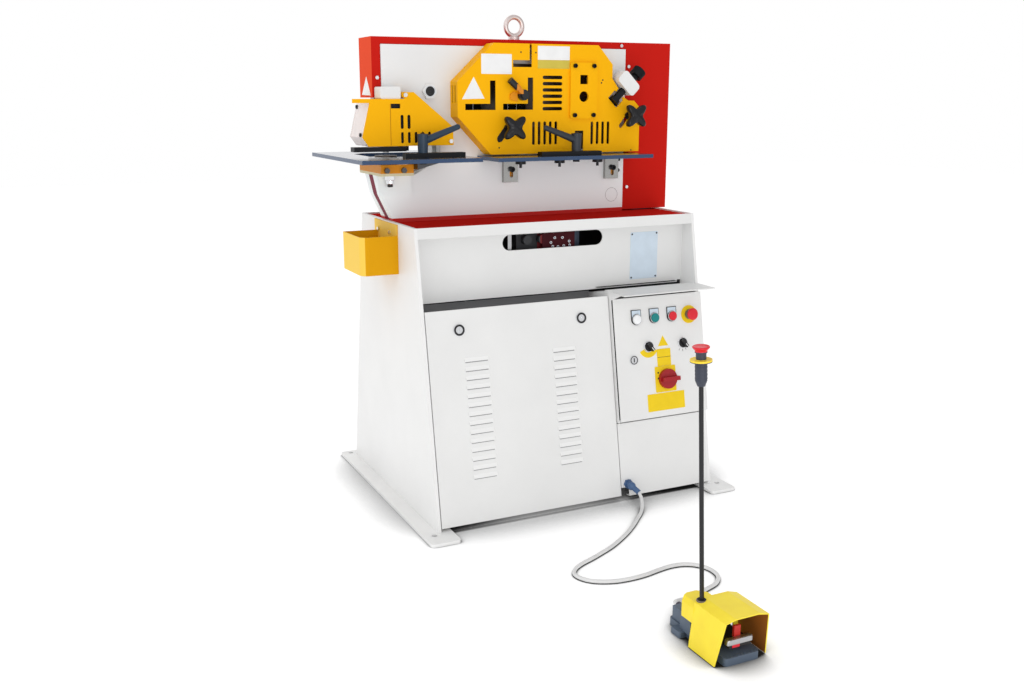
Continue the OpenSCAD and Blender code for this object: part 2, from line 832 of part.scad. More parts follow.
module pedal_base() {
    half = pedal_w / 2 - 4;
    end = cord_points[len(cord_points) - 1];
    color(blue_grey) difference() {
        union() {
            translate([pedal_x, (pedal_front + pedal_back) / 2, 0]) linear_extrude(20)
                round_rect(pedal_w, pedal_l, 10);
            box([pedal_x - block_w / 2 + 1, treadle_y + 12, 15],
                [pedal_x + block_w / 2 - 1, hood_rear + 6, hood_skirt_z - fit_gap]);
            box([pedal_x - half, hood_rear, 19], [pedal_x + half, pedal_back - 10, hood_skirt_z - 8]);
            for (s = [-1, 1]) box([pedal_x + s * (half - 5) - 5, treadle_y - 12, 19],
                [pedal_x + s * (half - 5) + 5, treadle_y + 13, treadle_z + 11]);
            on_post(-post_foot_z + 8) cylinder(h = post_foot_z - 8, d = post_d + 4);
            bar_y(end[0], end[2], pedal_back - 11, end[1] - 1, cord_d + 10);
        }
        translate([pedal_x - pedal_w, treadle_y, treadle_z]) rotate([0, 90, 0])
            cylinder(h = 2 * pedal_w, d = treadle_pin_d + 2 * run_gap);
    }
}

// Cross-section of the hood, open below
module hood_section(inset) {
    wide = hood_w / 2 - inset;
    shoulder = hood_top_w / 2 - inset;
    polygon([[-wide, -1], [-shoulder, hood_h - 8 - inset / 2], [-shoulder + 28, hood_h - inset],
        [shoulder - 28, hood_h - inset], [shoulder, hood_h - 8 - inset / 2], [wide, -1]]);
}

// Back of the hood round the post, cut off along its top edges and rear corners
module hood_back(wall, low) {
    half = hood_rear_w / 2 - wall;
    front = hood_step - hood_t - wall;
    rear = hood_rear - wall;
    top = hood_rear_h - wall;
    edge = 10;
    translate([hood_rear_x, 0, 0]) intersection() {
        plate_y(front, rear - front) polygon([[-half, low], [-half, top - edge], [-half + edge, top],
            [half - edge, top], [half, top - edge], [half, low]]);
        plate_z(0, 2 * hood_h) polygon([[-half, front - 1], [-half, rear - 13], [-half + 22, rear],
            [half - 30, rear], [half, rear - 30], [half, front - 1]]);
    }
}

module pedal_hood() {
    lean = atan(22 / hood_h);
    half = hood_rear_w / 2;
    gate = pedal_w / 2 + 4;
    color(bright_yellow) difference() {
        union() {
            difference() {
                translate([pedal_x, 0, 0]) plate_y(hood_front, hood_step - hood_front) hood_section(0);
                translate([pedal_x, 0, 0])
                    plate_y(hood_front - 1, hood_step - hood_front - hood_t + 1) hood_section(hood_t);
                box([pedal_x - hood_w, hood_front - 1, -2], [pedal_x + hood_w, hood_step + 1, 3]);
                translate([0, hood_front, hood_h]) rotate([lean, 0, 0])
                    box([pedal_x - hood_w, -80, -2 * hood_h], [pedal_x + hood_w, 0, hood_h]);
                box([pedal_x - gate, hood_step - hood_t - 1, -1],
                    [pedal_x + gate, hood_step + 1, hood_skirt_z]);
                box([hood_rear_x - half + hood_t, hood_step - hood_t - 1, hood_skirt_z - 1],
                    [hood_rear_x + half - hood_t, hood_step + 1, hood_rear_h - hood_t]);
            }
            difference() {
                hood_back(0, hood_skirt_z);
                hood_back(hood_t, hood_skirt_z - 1);
            }
        }
        on_post(10) cylinder(h = hood_h, d = post_d + 4 * shaft_gap);
    }
}

module foot_pedal() {
    half = pedal_w / 2 - 19;
    color(dark_steel) translate([pedal_x, treadle_y, treadle_z]) {
        rotate([0, 90, 0]) translate([0, 0, -half - 13]) cylinder(h = 2 * half + 26, d = treadle_pin_d);
        box([-half, -104, -4], [half, 0, 4]);
        box([-half, -108, -8], [half, -96, 8]);
        box([-9, -97, 3], [9, -90, 40]);
    }
}

module stop_post() {
    grip_low = post_l + hood_h - post_foot_z;
    grip_top = grip_low + grip_taper + grip_h;
    color(black) on_post(0) difference() {
        union() {
            cylinder(h = grip_low + 1, d = post_d);
            translate([0, 0, grip_low]) cylinder(h = grip_taper, d1 = post_d + 7, d2 = grip_d);
            translate([0, 0, grip_low + grip_taper - 0.5]) cylinder(h = grip_h + 0.5, d = grip_d);
            translate([0, 0, grip_top - 1]) cylinder(h = ring_t + neck_h + 1, d = neck_d);
        }
        translate([0, 0, grip_top - 24]) cylinder(h = 60, d = button_shaft_d + 2 * shaft_gap);
    }
    color(bright_yellow) on_post(grip_top - 0.5) difference() {
        cylinder(h = ring_t + 0.5, d = ring_d);
        translate([0, 0, -1]) cylinder(h = ring_t + 3, d = neck_d - 2);
    }
}

// Flared head over the neck, with a dished top and its shaft down the grip
module post_button() {
    ring_top = post_l + hood_h - post_foot_z + grip_taper + grip_h + ring_t;
    shaft = button_shaft_d / 2;
    inside = neck_d / 2 + shaft_gap;
    skirt = inside + 2;
    rim = stop_d / 2;
    roof = neck_h + button_travel + 1;
    color("crimson") on_post(ring_top) rotate_extrude() polygon([[0, -18], [shaft, -18], [shaft, roof],
        [inside, roof], [inside, neck_h - 3], [skirt, neck_h - 3], [skirt, neck_h + 2],
        [rim, neck_h + 8.5], [rim, neck_h + 10.5], [rim - 1.5, neck_h + 12], [rim * 0.55, neck_h + 10.2],
        [0, neck_h + 9.6]]);
}

// Frame plate outline in x and z
module frame_outline() {
    polygon([[frame_foot_left, seat_z], [frame_right, seat_z], [frame_right, frame_top],
        [frame_left, frame_top], [frame_left, jaw_z], [throat_x, jaw_z], [throat_x, anvil_z + 47],
        [throat_x - 85, anvil_z],
        [frame_nose, anvil_z], [frame_nose + 14, anvil_z - 62]]);
}

// Opening for the blades in the front plate, its left corners cut off behind the guard
module window_outline() {
    polygon([[window_l, window_b + 22], [window_l + 23, window_b], [window_r, window_b], [window_r, window_t],
        [window_l + 49, window_t], [window_l, window_t - 48]]);
}

// Bore for the pivot pin through a frame plate
module pivot_bore() { bar_y(pivot_x, pivot_z, plate_front - 1, plate_back + 1, pin_d + 2 * run_gap); }

module front_frame_plate() {
    pad_t = 10;
    color(white) on_rim() {
        difference() {
            plate_y(plate_front, plate_t) frame_outline();
            plate_y(plate_front - 1, plate_t + 2) window_outline();
            pivot_bore();
            for (p = bracket_bolts) bar_y(p[0], p[1], plate_front - 1, plate_front + 20, 10);
        }
        plate_y(plate_front - pad_t, pad_t + 0.5) translate([frame_nose + 58, anvil_z - 31])
            round_rect(108, 62, 8);
    }
}

module rear_frame_plate() {
    color(white) on_rim() difference() {
        union() {
            plate_y(gap_back, plate_t) difference() {
                frame_outline();
                translate([window_l, window_b]) square([window_r - window_l, window_t - window_b]);
            }
            box([frame_foot_left, gap_front, seat_z], [frame_right, gap_back, seat_z + 49]);
            box([frame_left, gap_front, frame_top - 32], [frame_left + 667, gap_back, frame_top]);
            box([frame_left + 2, gap_front, jaw_z], [punch_x + ram_d / 2 + 25, gap_back, jaw_z + guide_h]);
        }
        pivot_bore();
        translate([punch_x, frame_y, jaw_z - 1]) cylinder(h = guide_h + 2, d = ram_d + 2 * run_gap);
    }
}

module rear_cover() {
    low_x = throat_x + 77;
    low_z = fit_gap;
    color(red) on_rim() difference() {
        union() {
            plate_y(cover_back - cover_t, cover_t)
                polygon([[cover_left, cover_low_z], [cover_left, cover_top],
                [cover_right, cover_top], [cover_right, low_z], [low_x, low_z], [low_x, cover_low_z]]);
            box([cover_left, cover_front, cover_top - cover_t], [cover_right, cover_back, cover_top]);
            box([cover_left, cover_front, cover_low_z], [cover_left + cover_t, cover_back, cover_top]);
            box([cover_right - cover_t, cover_front, low_z], [cover_right, cover_back, cover_top]);
            box([frame_right + cover_seam, cover_front, low_z],
                [cover_right, cover_front + cover_t, cover_top]);
            box([cover_left, cover_front, frame_top + cover_seam],
                [cover_right, cover_front + cover_t, cover_top]);
            box([cover_left, cover_front, cover_low_z],
                [frame_left - cover_seam, cover_front + cover_t, cover_top]);
            box([cover_left, cover_front, cover_low_z],
                [frame_left - cover_seam, cover_back, cover_low_z + cover_t]);
        }
        box([window_l, cover_back - cover_t - 1, window_b], [window_r, cover_back + 1, window_t]);
        translate([eye_x, frame_y, cover_top - cover_t - 1]) cylinder(h = cover_t + 2, d = 22);
    }
}

// Screw head with a hexagon socket, z outwards
module socket_head(d, h) {
    difference() {
        cylinder(h = h, d = d);
        translate([0, 0, h / 2]) cylinder(h = h, d = d * 0.55, $fn = 6);
    }
}

// Hexagon screw head, z outwards
module hex_head(d, h) { cylinder(h = h, d = d, $fn = 6); }

// Turn z towards the operator
module facing(x, y, z) { translate([x, y, z]) rotate([90, 0, 0]) children(); }

bracket_bolts = [[right_x + 116, 151], [right_x + 498, 147]];
shield_bolts = [[shield_bend_x + 48, 387], [shield_bend_x + 195, 247]];
plate_bolts = [for (sx = [-1, 1], sz = [-1, 1])
    [bar_plate_x + sx * (bar_plate_w / 2 - 15), bar_plate_z + sz * (bar_plate_h / 2 - 11)]];

module screws() {
    color(chrome) on_rim() {
        for (p = [[frame_left - 14, 438], [frame_right + 12, 481], [frame_right + 15, 78],
            [frame_right - 18, 548]])
            facing(p[0], cover_front, p[1]) hex_head(12, 6);
        for (p = shield_bolts) facing(p[0], shield_face, p[1]) hex_head(14, 6);
        for (x = [-35, 20]) facing(punch_x + x, frame_y - bolster_d / 2, anvil_z + bolster_h / 2)
            hex_head(18, 9);
        for (y = tray_holes) translate([-half_w - sheet_t, y, -tray_hole_drop])
            rotate([0, -90, 0]) hex_head(13, 5);
    }
    color(black) on_rim() {
        for (p = plate_bolts) facing(p[0], guard_face - bar_plate_t, p[1]) socket_head(14, 7);
        for (p = bracket_bolts) facing(p[0], plate_front - table_t, p[1]) socket_head(18, 10);
        for (x = [104, 244, 385]) translate([right_x + x, right_front + 60, right_top_z - table_t - 24]) {
            translate([0, 0, 12]) cylinder(h = 12, d = 34);
            cylinder(h = 13, d = 9);
        }
    }
}

module lifting_eye() {
    ring_z = cover_top + 10 + eye_r + eye_bar / 2 - 3;
    color(steel) on_rim() {
        translate([eye_x, frame_y, cover_top]) cylinder(h = 12, d = 36);
        translate([eye_x, frame_y, frame_top]) cylinder(h = cover_top - frame_top + 1, d = 20);
        translate([eye_x, frame_y, ring_z]) rotate([90, 0, 0]) rotate_extrude()
            translate([eye_r, 0]) circle(d = eye_bar);
    }
}

module pivot_pin() {
    color(white) on_rim() difference() {
        union() {
            bar_y(pivot_x, pivot_z, plate_front, plate_back + 6, pin_d);
            facing(pivot_x, plate_front, pivot_z) cylinder(h = 10, d = pin_d + 10, $fn = 6);
        }
        facing(pivot_x, plate_front - 3, pivot_z) cylinder(h = 8, d = pin_d - 10);
    }
}

// Rocker outline in x and z, about the pivot
module rocker_outline() {
    translate([pivot_x, pivot_z]) polygon([[-150, -rocker_drop], [-150, 37], [-58, 62], [72, 66],
        [832, 22], [832, -rocker_drop], [690, -rocker_drop], [612, -123], [72, -123], [32, -rocker_drop]]);
}

// Angle opening: a leg up at its right end and a leg along its foot
module angle_outline(a, grow) {
    translate([a[0] - angle_leg - grow, a[1] - grow]) square([angle_leg + 2 * grow, a[3] + 2 * grow]);
    translate([a[0] - a[2] - grow, a[1] - grow]) square([a[2] + 2 * grow, angle_leg + 2 * grow]);
}

module rocker_beam() {
    color(steel) on_rim() difference() {
        plate_y(frame_y - rocker_t / 2, rocker_t) rocker_outline();
        bar_y(pivot_x, pivot_z, gap_front - 1, gap_back + 1, pin_d + 2 * run_gap);
        for (a = angle_slots) plate_y(gap_front - 1, plate_gap + 2) angle_outline(a, 6);
        bar_y(bar_plate_x, round_z, gap_front - 1, gap_back + 1, bar_round + 8);
        plate_y(gap_front - 1, plate_gap + 2) translate([bar_plate_x, square_z])
            square(bar_square + 8, center = true);
    }
}

module punch_ram() {
    nut_z = jaw_z - 12;
    tip_z = left_top_z + 9;
    color(steel) on_rim() translate([punch_x, frame_y, 0]) {
        translate([0, 0, ram_top - 6]) cylinder(h = 6, d1 = ram_d, d2 = ram_d / 2);
        translate([0, 0, nut_z - 1]) cylinder(h = ram_top - 6 - nut_z + 1, d = ram_d);
        translate([0, 0, nut_z - 30]) cylinder(h = 30, d = 56, $fn = 6);
        translate([0, 0, tip_z]) cylinder(h = nut_z - 30 - tip_z + 1, d = punch_d);
    }
}

module die_bolster() {
    color(yellow) on_rim() difference() {
        box([punch_x - bolster_w / 2, frame_y - bolster_d / 2, anvil_z],
            [punch_x + bolster_w / 2, frame_y + bolster_d / 2, anvil_z + bolster_h]);
        translate([punch_x, frame_y, anvil_z - 1]) cylinder(h = bolster_h + 2, d = punch_d + 8);
    }
}

module fixed_tooling() {
    color(dark_steel) on_rim() {
        translate([punch_x, frame_y, anvil_z + bolster_h]) difference() {
            cylinder(h = left_top_z - anvil_z - bolster_h, d = 70);
            translate([0, 0, -1]) cylinder(h = left_top_z - anvil_z, d = punch_d + 2);
        }
        difference() {
            plate_y(plate_front, plate_t) window_outline();
            for (x = blade_seams) box([x, plate_front - 1, window_b - 1],
                [x + fit_gap, gap_front + 1, window_t + 1]);
            for (a = angle_slots) plate_y(plate_front - 1, plate_t + 2) angle_outline(a, 2);
            bar_y(bar_plate_x, round_z, plate_front - 1, gap_front + 1, bar_round + 4);
            plate_y(plate_front - 1, plate_t + 2) translate([bar_plate_x, square_z])
                square(bar_square + 4, center = true);
        }
    }
}

module stripper() {
    top = stripper_z + stripper_t;
    post = 20;
    back_x = punch_x + 36;
    color(black) on_rim() difference() {
        union() {
            box([punch_x - 138, shield_face + 2, stripper_z], [punch_x + 28, shield_face + 38, top]);
            box([punch_x - 40, shield_face + 37, stripper_z], [back_x + 12, plate_back, top]);
            for (y = [plate_front + plate_t / 2, plate_back - plate_t / 2])
                translate([back_x, y, top - 1]) cylinder(h = jaw_z - top + 1, d = post);
        }
        translate([punch_x, frame_y, stripper_z - 1]) cylinder(h = stripper_t + 2, d = punch_d + 6);
    }
}

// Punch guard: slotted bracket, front cheek and top flange of one folded sheet
module punch_guard() {
    lip = 12;
    flange_l = shield_bend_x - 118;
    color(yellow) on_rim() {
        difference() {
            plate_y(shield_face, guard_t) polygon([[shield_bend_x + 46, shield_top + 20],
                [shield_bend_x + 76, shield_top + 20], [shield_bend_x + 203, 291],
                [shield_bend_x + 205, shield_bottom], [shield_bend_x - 71, shield_bottom],
                [shield_bend_x - 90, 262], [shield_bend_x - 65, shield_top - lip],
                [shield_bend_x + 46, shield_top - lip]]);
            for (x = [37, 59]) translate([shield_bend_x + x, 0, 0])
                plate_y(shield_face - 1, guard_t + 2) translate([0, 307]) rotate(90) slot(42, 10);
            for (i = [0:4]) translate([shield_bend_x + 37 + i * 22, 0, 0])
                plate_y(shield_face - 1, guard_t + 2) translate([0, 260]) rotate(90) slot(34, 9);
            box([shield_bend_x + 2, shield_face - 1, 347],
                [shield_bend_x + 32, shield_face + guard_t + 1, 361]);
        }
        plate_z(shield_top - guard_t, guard_t) polygon([[flange_l, shield_face],
            [shield_bend_x + 46, shield_face], [shield_bend_x + 46, plate_front],
            [frame_left - 1, plate_front], [frame_left - 1, gap_front - 5], [flange_l + 46, gap_front - 5]]);
        box([flange_l, shield_face, shield_top - lip],
            [shield_bend_x + 47, shield_face + guard_t, shield_top]);
        for (p = shield_bolts) bar_y(p[0], p[1], shield_face + 1, plate_front, 18);
    }
}

module guard_window() {
    t = 4;
    x = shield_bend_x;
    color([0.9, 0.8, 0.78, 0.5]) on_rim() plate_y(shield_face + guard_t, shield_depth + 60)
        polygon([[x - 65, shield_top - 12], [x - 90, 262], [x - 71, shield_bottom],
            [x - 71 + t, shield_bottom], [x - 90 + t, 262], [x - 65 + t, shield_top - 12],
            [x - 65 + t, shield_top - guard_t], [x - 65, shield_top - guard_t]]);
}

module switch_box() {
    w = 64;
    color(white) on_rim() plate_y(shield_face + 5, shield_depth - 5)
        translate([frame_left - 23 + w / 2, shield_top + 18]) round_rect(w, 36, 5);
}

// Slot through a table for a gauge stud, long way front to back
module stud_cut(x, y, top) {
    plate_z(top - table_t - 1, table_t + 2) translate([x, y]) rotate(90) slot(stud_slot, stud_d + 2);
}

module left_table() {
    right = left_x + left_w;
    arm_x = punch_x + bolster_w / 2;
    color(steel) on_rim() difference() {
        union() {
            plate_z(left_top_z - table_t, table_t) difference() {
                translate([left_x, left_front]) square([left_w, left_back - left_front]);
                polygon([[notch_l + 40, notch_front], [right + 1, notch_front], [right + 1, notch_back],
                    [notch_l + 40, notch_back], [notch_l, notch_back - 40], [notch_l, notch_front + 40]]);
            }
            for (y = [[gauge_y_left + 29, plate_front], [plate_back, left_back - 40]])
                plate_y(y[0], y[1] - y[0]) polygon([[arm_x, anvil_z + 20], [arm_x, left_top_z - table_t + 1],
                    [arm_x + 97, left_top_z - table_t + 1], [arm_x + 70, left_top_z - table_t - 8]]);
        }
        stud_cut(left_lever_x, gauge_y_left - 15, left_top_z);
    }
}

// Gauge bar lying on a table, with the stud of its clamp
module gauge_bar(x, y, l, lever_x, top) {
    color(black) on_rim() difference() {
        union() {
            box([x - l / 2, y - gauge_d / 2, top], [x + l / 2, y + gauge_d / 2, top + gauge_h]);
            translate([lever_x, y, top - table_t]) cylinder(h = table_t + 1, d = stud_d);
            translate([lever_x, y, top - table_t - 8]) cylinder(h = 8 - fit_gap, d = stud_d + 12);
            translate([lever_x, y, top - table_t - 1]) cylinder(h = 2, d = stud_d);
        }
        translate([lever_x, y, top + gauge_h / 2]) cylinder(h = gauge_h, d = stud_d + 2 * run_gap);
    }
}

module left_gauge() { gauge_bar(left_gauge_x, gauge_y_left, left_gauge_l, left_lever_x, left_top_z); }

module right_gauge() {
    gauge_bar(right_gauge_x, gauge_y_right, right_gauge_l, right_lever_x, right_top_z);
}

// Clamp lever: hub on its stud and a handle rising to one side
module clamp_lever(x, y, top, turn, reach) {
    hub_h = 56;
    color(blue_grey) on_rim() translate([x, y, top + gauge_h]) {
        translate([0, 0, -gauge_h / 2]) cylinder(h = gauge_h / 2 + 1, d = stud_d);
        translate([0, 0, fit_gap]) cylinder(h = hub_h, d1 = 30, d2 = 34);
        rotate([0, 0, turn]) translate([0, 0, hub_h - 22]) rotate([0, 70, 0]) {
            cylinder(h = reach, d1 = 24, d2 = 17);
            translate([0, 0, reach]) sphere(d = 17);
        }
    }
}

module left_clamp_lever() { clamp_lever(left_lever_x, gauge_y_left, left_top_z, 0, 122); }

module right_clamp_lever() { clamp_lever(right_lever_x, gauge_y_right, right_top_z, 180, 118); }

// Guard outline in x and z, clockwise from the top left
guard_points = [[-166, guard_top], [209, guard_top], [264, 485], [264, 440], [310, 380], [328, 369],
    [350, 369], [guard_right, 347], [guard_right, guard_bottom], [guard_low_l, guard_bottom],
    [guard_left, 320], [guard_left, 428]];

// Outline p moved inwards by d at corner i, p running clockwise
function inward(a, b) = unit([b[1] - a[1], a[0] - b[0]]);
function inset_corner(p, i, d) = let (n = len(p), a = p[(i + n - 1) % n], b = p[i], c = p[(i + 1) % n],
    u = inward(a, b), w = inward(b, c)) b + d * (u + w) / (1 + u * w);
function inset(p, d) = [for (i = [0:len(p) - 1]) inset_corner(p, i, d)];

// Cuts in the face of the guard
module guard_cuts() {
    for (a = angle_slots) angle_outline(a, 0);
    translate([-100, 473]) square([66, 21]);
    translate([-42, 473]) square([8, guard_top - guard_t - 473]);
    for (i = [0:5]) translate([41, 442 - i * 19.6]) slot(72, 11);
    for (i = [0:4]) translate([-27 + i * 20.3, 267]) rotate(90) slot(74, 10);
    for (i = [0:3]) translate([189 + i * 20.6, 265]) rotate(90) slot(74, 10);
    translate([125, guard_bottom - 1]) square([32, 72]);
    translate([bar_plate_x, square_z]) square(bar_square + 6, center = true);
    translate([bar_plate_x, round_z]) circle(d = bar_round + 6);
    translate(left_star + [-14, -18]) rotate(52) slot(68, 14);
    translate(right_star + [-13, -15]) rotate(52) slot(60, 14);
    translate(handle_pos) circle(d = 14 + 2 * shaft_gap);
    translate([hold_x, hold_z]) rotate(45) {
        translate([-63, 0]) square([36, 45], center = true);
        translate([-63, -16]) square([50, 32]);
    }
}

module shear_guard() {
    color(yellow) on_rim() difference() {
        plate_y(guard_face, guard_depth) polygon(guard_points);
        plate_y(guard_face + guard_t, guard_depth) polygon(inset(guard_points, guard_t));
        plate_y(guard_face - 1, guard_t + 2) guard_cuts();
        box([guard_low_l + 3, guard_face + guard_t, guard_bottom - 1],
            [guard_right - guard_t, plate_front + 1, guard_bottom + guard_t + 1]);
        box([248, guard_face + guard_t, 335], [guard_right + 1, plate_front + 1, 457]);
        for (y = [20, 42]) translate([guard_left - 1, guard_face + y, 390])
            rotate([0, 90, 0]) linear_extrude(guard_t + 2) slot(56, 9);
        box([-42, guard_face - 1, guard_top - guard_t - 1], [-34, guard_face + 30, guard_top + 1]);
    }
}

module bar_shear_plate() {
    color(yellow) on_rim() difference() {
        plate_y(guard_face - bar_plate_t, bar_plate_t) translate([bar_plate_x, bar_plate_z])
            round_rect(bar_plate_w, bar_plate_h, 8);
        plate_y(guard_face - bar_plate_t - 1, bar_plate_t + 2) translate([bar_plate_x, square_z])
            square(bar_square, center = true);
        bar_y(bar_plate_x, round_z, guard_face - bar_plate_t - 1, guard_face + 1, bar_round);
    }
}

// Frame of the hold-down: z along its screw, up and to the right
module on_hold_down() { translate([hold_x, hold_y, hold_z]) rotate([0, 45, 0]) children(); }

module hold_down_block() {
    color(white) on_rim() on_hold_down() difference() {
        translate([-9, 0, 0]) {
            rotate([90, 0, 0]) linear_extrude(44, center = true) round_rect(80, 46, 12);
            box([-26, 10, -20], [30, hold_reach, 20]);
        }
        translate([0, 0, -60]) cylinder(h = 120, d = hold_rod_d + 2 * run_gap);
    }
}

hold_reach = plate_front - hold_y;
hold_rod_d = 24;

module hold_down_screw() {
    color(black) on_rim() on_hold_down() {
        translate([0, 0, -64]) cylinder(h = 106, d = hold_rod_d);
        translate([0, 0, 41]) cylinder(h = 28, d = knurl_d);
        translate([0, 0, -77]) cylinder(h = 14, d1 = 38, d2 = 34);
    }
}

// Star outline with four arms on the diagonals and hollow sides
module star_outline() {
    half = star_d / sqrt(8);
    tip = 6;
    waist = 0.2 * star_d;
    dip = half - waist;
    r = (dip * dip + (half - tip) * (half - tip)) / (2 * dip);
    intersection() {
        circle(d = star_d - 4);
        difference() {
            square(2 * half, center = true);
            for (a = [0:90:270]) rotate(a) translate([waist + r, 0]) circle(r, $fn = 64);
        }
    }
}

// Star knob on its screw, axis towards the operator
module star_knob(p) {
    color(black) on_rim() facing(p[0], guard_face, p[1]) {
        translate([0, 0, -20]) cylinder(h = star_out + 21, d = 10);
        translate([0, 0, fit_gap]) cylinder(h = 8, d = 26);
        translate([0, 0, 8]) cylinder(h = star_out - 17, d = 18);
        translate([0, 0, star_out - 11]) cylinder(h = 12, d1 = 34, d2 = 46);
        translate([0, 0, star_out]) linear_extrude(22) star_outline();
    }
}

module left_star_knob() { star_knob(left_star); }

module right_star_knob() { star_knob(right_star); }

module angle_handle() {
    color(black) on_rim() facing(handle_pos[0], guard_face, handle_pos[1]) {
        translate([0, 0, -12]) cylinder(h = 13, d = 14);
        translate([0, 0, fit_gap]) cylinder(h = 16, d = 34);
        rotate(139) {
            translate([0, -7, 16]) cube([36, 14, 8]);
            translate([30, 0, 20]) rotate([0, 90, 0]) cylinder(h = 40, d = 21);
        }
        translate([0, 0, 15]) cylinder(h = 9, d = 24);
    }
}

module right_table() {
    drop = 76;
    slot_w = 12;
    color(steel) on_rim() difference() {
        union() {
            box([right_x, right_front, right_top_z - table_t],
                [right_x + right_w, plate_front - 1, right_top_z]);
            for (p = bracket_bolts) box([p[0] - 28, plate_front - table_t, right_top_z - table_t - drop],
                [p[0] + 24, plate_front, right_top_z - table_t + 1]);
        }
        stud_cut(right_lever_x, gauge_y_right + 10, right_top_z);
        for (p = bracket_bolts) plate_y(plate_front - table_t - 1, table_t + 2)
            translate([p[0], p[1] - 10]) rotate(90) slot(34, slot_w);
    }
}

module cylinder_barrel() {
    bore_top = cyl_top - 20;
    color(dark_steel) on_rim() difference() {
        union() {
            box([cyl_x - 40, frame_y - 40, seat_z], [cyl_x + 40, frame_y + 40, seat_z + cyl_foot_h + 1]);
            translate([cyl_x, frame_y, seat_z + cyl_foot_h])
                cylinder(h = cyl_top - seat_z - cyl_foot_h, d = cyl_d);
        }
        translate([cyl_x, frame_y, seat_z + 34])
            cylinder(h = bore_top - seat_z - 34, d = piston_d + 2 * run_gap);
        translate([cyl_x, frame_y, bore_top - 1]) cylinder(h = 22, d = piston_rod_d + 2 * run_gap);
    }
}

module cylinder_rod() {
    color(chrome) on_rim() translate([cyl_x, frame_y, 0]) {
        translate([0, 0, seat_z + 100]) cylinder(h = 24, d = piston_d);
        translate([0, 0, seat_z + 123]) cylinder(h = rod_top - seat_z - 123 - 4, d = piston_rod_d);
        translate([0, 0, rod_top - 5]) cylinder(h = 5, d = 36);
    }
}

// Oil tank across the cabinet, with its filler cap and the valve block under the top plate
module hydraulic_unit() {
    block_x = 20;
    block_y = 40 - recess_y;
    block_top = top_z - top_t;
    spool_d = 30;
    color(dark_steel) {
        box([-inner_x, -110, tank_low], [inner_x, 230, tank_high]);
        translate([260, tank_y, tank_high]) cylinder(h = 30, d = 60);
        box([block_x - 140, block_y, block_top - 95], [block_x + 90, block_y + 70, block_top]);
        for (i = [0:3]) bar_y(block_x - 110 + i * 55, block_top - 55, block_y - 22, block_y + 1, spool_d);
    }
}

// Upright motor on the tank: flange, body, fan cowl and terminal box
module electric_motor() {
    flange_t = 16;
    cowl_h = 40;
    color("slategray") translate([motor_x, tank_y, tank_high]) {
        cylinder(h = flange_t, d = motor_d + 40);
        translate([0, 0, flange_t - 1]) cylinder(h = motor_h, d = motor_d);
        translate([0, 0, motor_h + flange_t - 2]) cylinder(h = cowl_h, d = motor_d - 10);
        box([-50, -motor_d / 2 - 30, 90], [50, -motor_d / 2 + 20, 170]);
    }
}

left_side_panel();
right_side_panel();
back_panel();
cabinet_top();
upper_front_panel();
right_front_panel();
door_rail();
front_door();
left_door_catch();
right_door_catch();
enclosure_box();
enclosure_door();
legend_plates();
start_button();
stop_button();
switch_plates();
emergency_button();
left_selector();
right_selector();
main_switch_knob();
enclosure_lock();
tool_tray();
cable_gland();
pedal_cord();
pedal_base();
pedal_hood();
foot_pedal();
stop_post();
post_button();
front_frame_plate();
rear_frame_plate();
rear_cover();
screws();
lifting_eye();
pivot_pin();
rocker_beam();
punch_ram();
die_bolster();
fixed_tooling();
stripper();
punch_guard();
guard_window();
switch_box();
left_table();
left_gauge();
left_clamp_lever();
shear_guard();
bar_shear_plate();
hold_down_block();
hold_down_screw();
left_star_knob();
right_star_knob();
angle_handle();
right_table();
right_gauge();
right_clamp_lever();
cylinder_barrel();
cylinder_rod();
hydraulic_unit();
electric_motor();
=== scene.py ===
"""Looks of a hydraulic ironworker with its corded foot pedal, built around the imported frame.

Lengths are metres in the frame's own axes: +Z up, the operator at -Y, +X to the right.
"""
from __future__ import annotations

import json
import logging
import math
from dataclasses import dataclass
from enum import Enum
from typing import Any, Callable, Iterable, Mapping, Sequence, Union

import bmesh
import bpy
from mathutils import Matrix, Vector

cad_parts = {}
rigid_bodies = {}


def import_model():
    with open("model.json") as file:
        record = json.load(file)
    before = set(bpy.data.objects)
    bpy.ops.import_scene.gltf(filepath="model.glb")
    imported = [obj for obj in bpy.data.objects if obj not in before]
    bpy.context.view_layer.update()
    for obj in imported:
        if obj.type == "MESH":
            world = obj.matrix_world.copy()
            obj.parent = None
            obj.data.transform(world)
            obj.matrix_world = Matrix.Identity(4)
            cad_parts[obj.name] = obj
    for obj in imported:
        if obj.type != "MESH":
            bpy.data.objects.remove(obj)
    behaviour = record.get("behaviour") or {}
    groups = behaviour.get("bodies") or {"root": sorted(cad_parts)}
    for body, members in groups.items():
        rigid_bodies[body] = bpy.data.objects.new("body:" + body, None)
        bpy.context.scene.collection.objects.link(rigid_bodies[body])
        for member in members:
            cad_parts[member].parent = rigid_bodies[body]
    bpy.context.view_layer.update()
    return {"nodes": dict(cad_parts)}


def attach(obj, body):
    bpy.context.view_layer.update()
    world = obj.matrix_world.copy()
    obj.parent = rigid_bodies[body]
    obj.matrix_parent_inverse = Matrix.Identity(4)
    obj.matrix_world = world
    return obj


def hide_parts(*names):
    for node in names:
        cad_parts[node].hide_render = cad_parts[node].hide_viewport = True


LOG = logging.getLogger("ironworker")
Colour = tuple[float, float, float]
Pair = tuple[float, float]
Triple = tuple[float, float, float]
Pairs = Sequence[Pair]
Number = Union[int, float]
Operand = Union["Sock", Number]
Value = Union["Sock", Number, bool, str, Sequence[float], bpy.types.NodeSocket]
Shape = Callable[["Piece"], "Piece"]
Span = tuple[Union[float, None], Union[float, None]]
ANY: Span = (None, None)

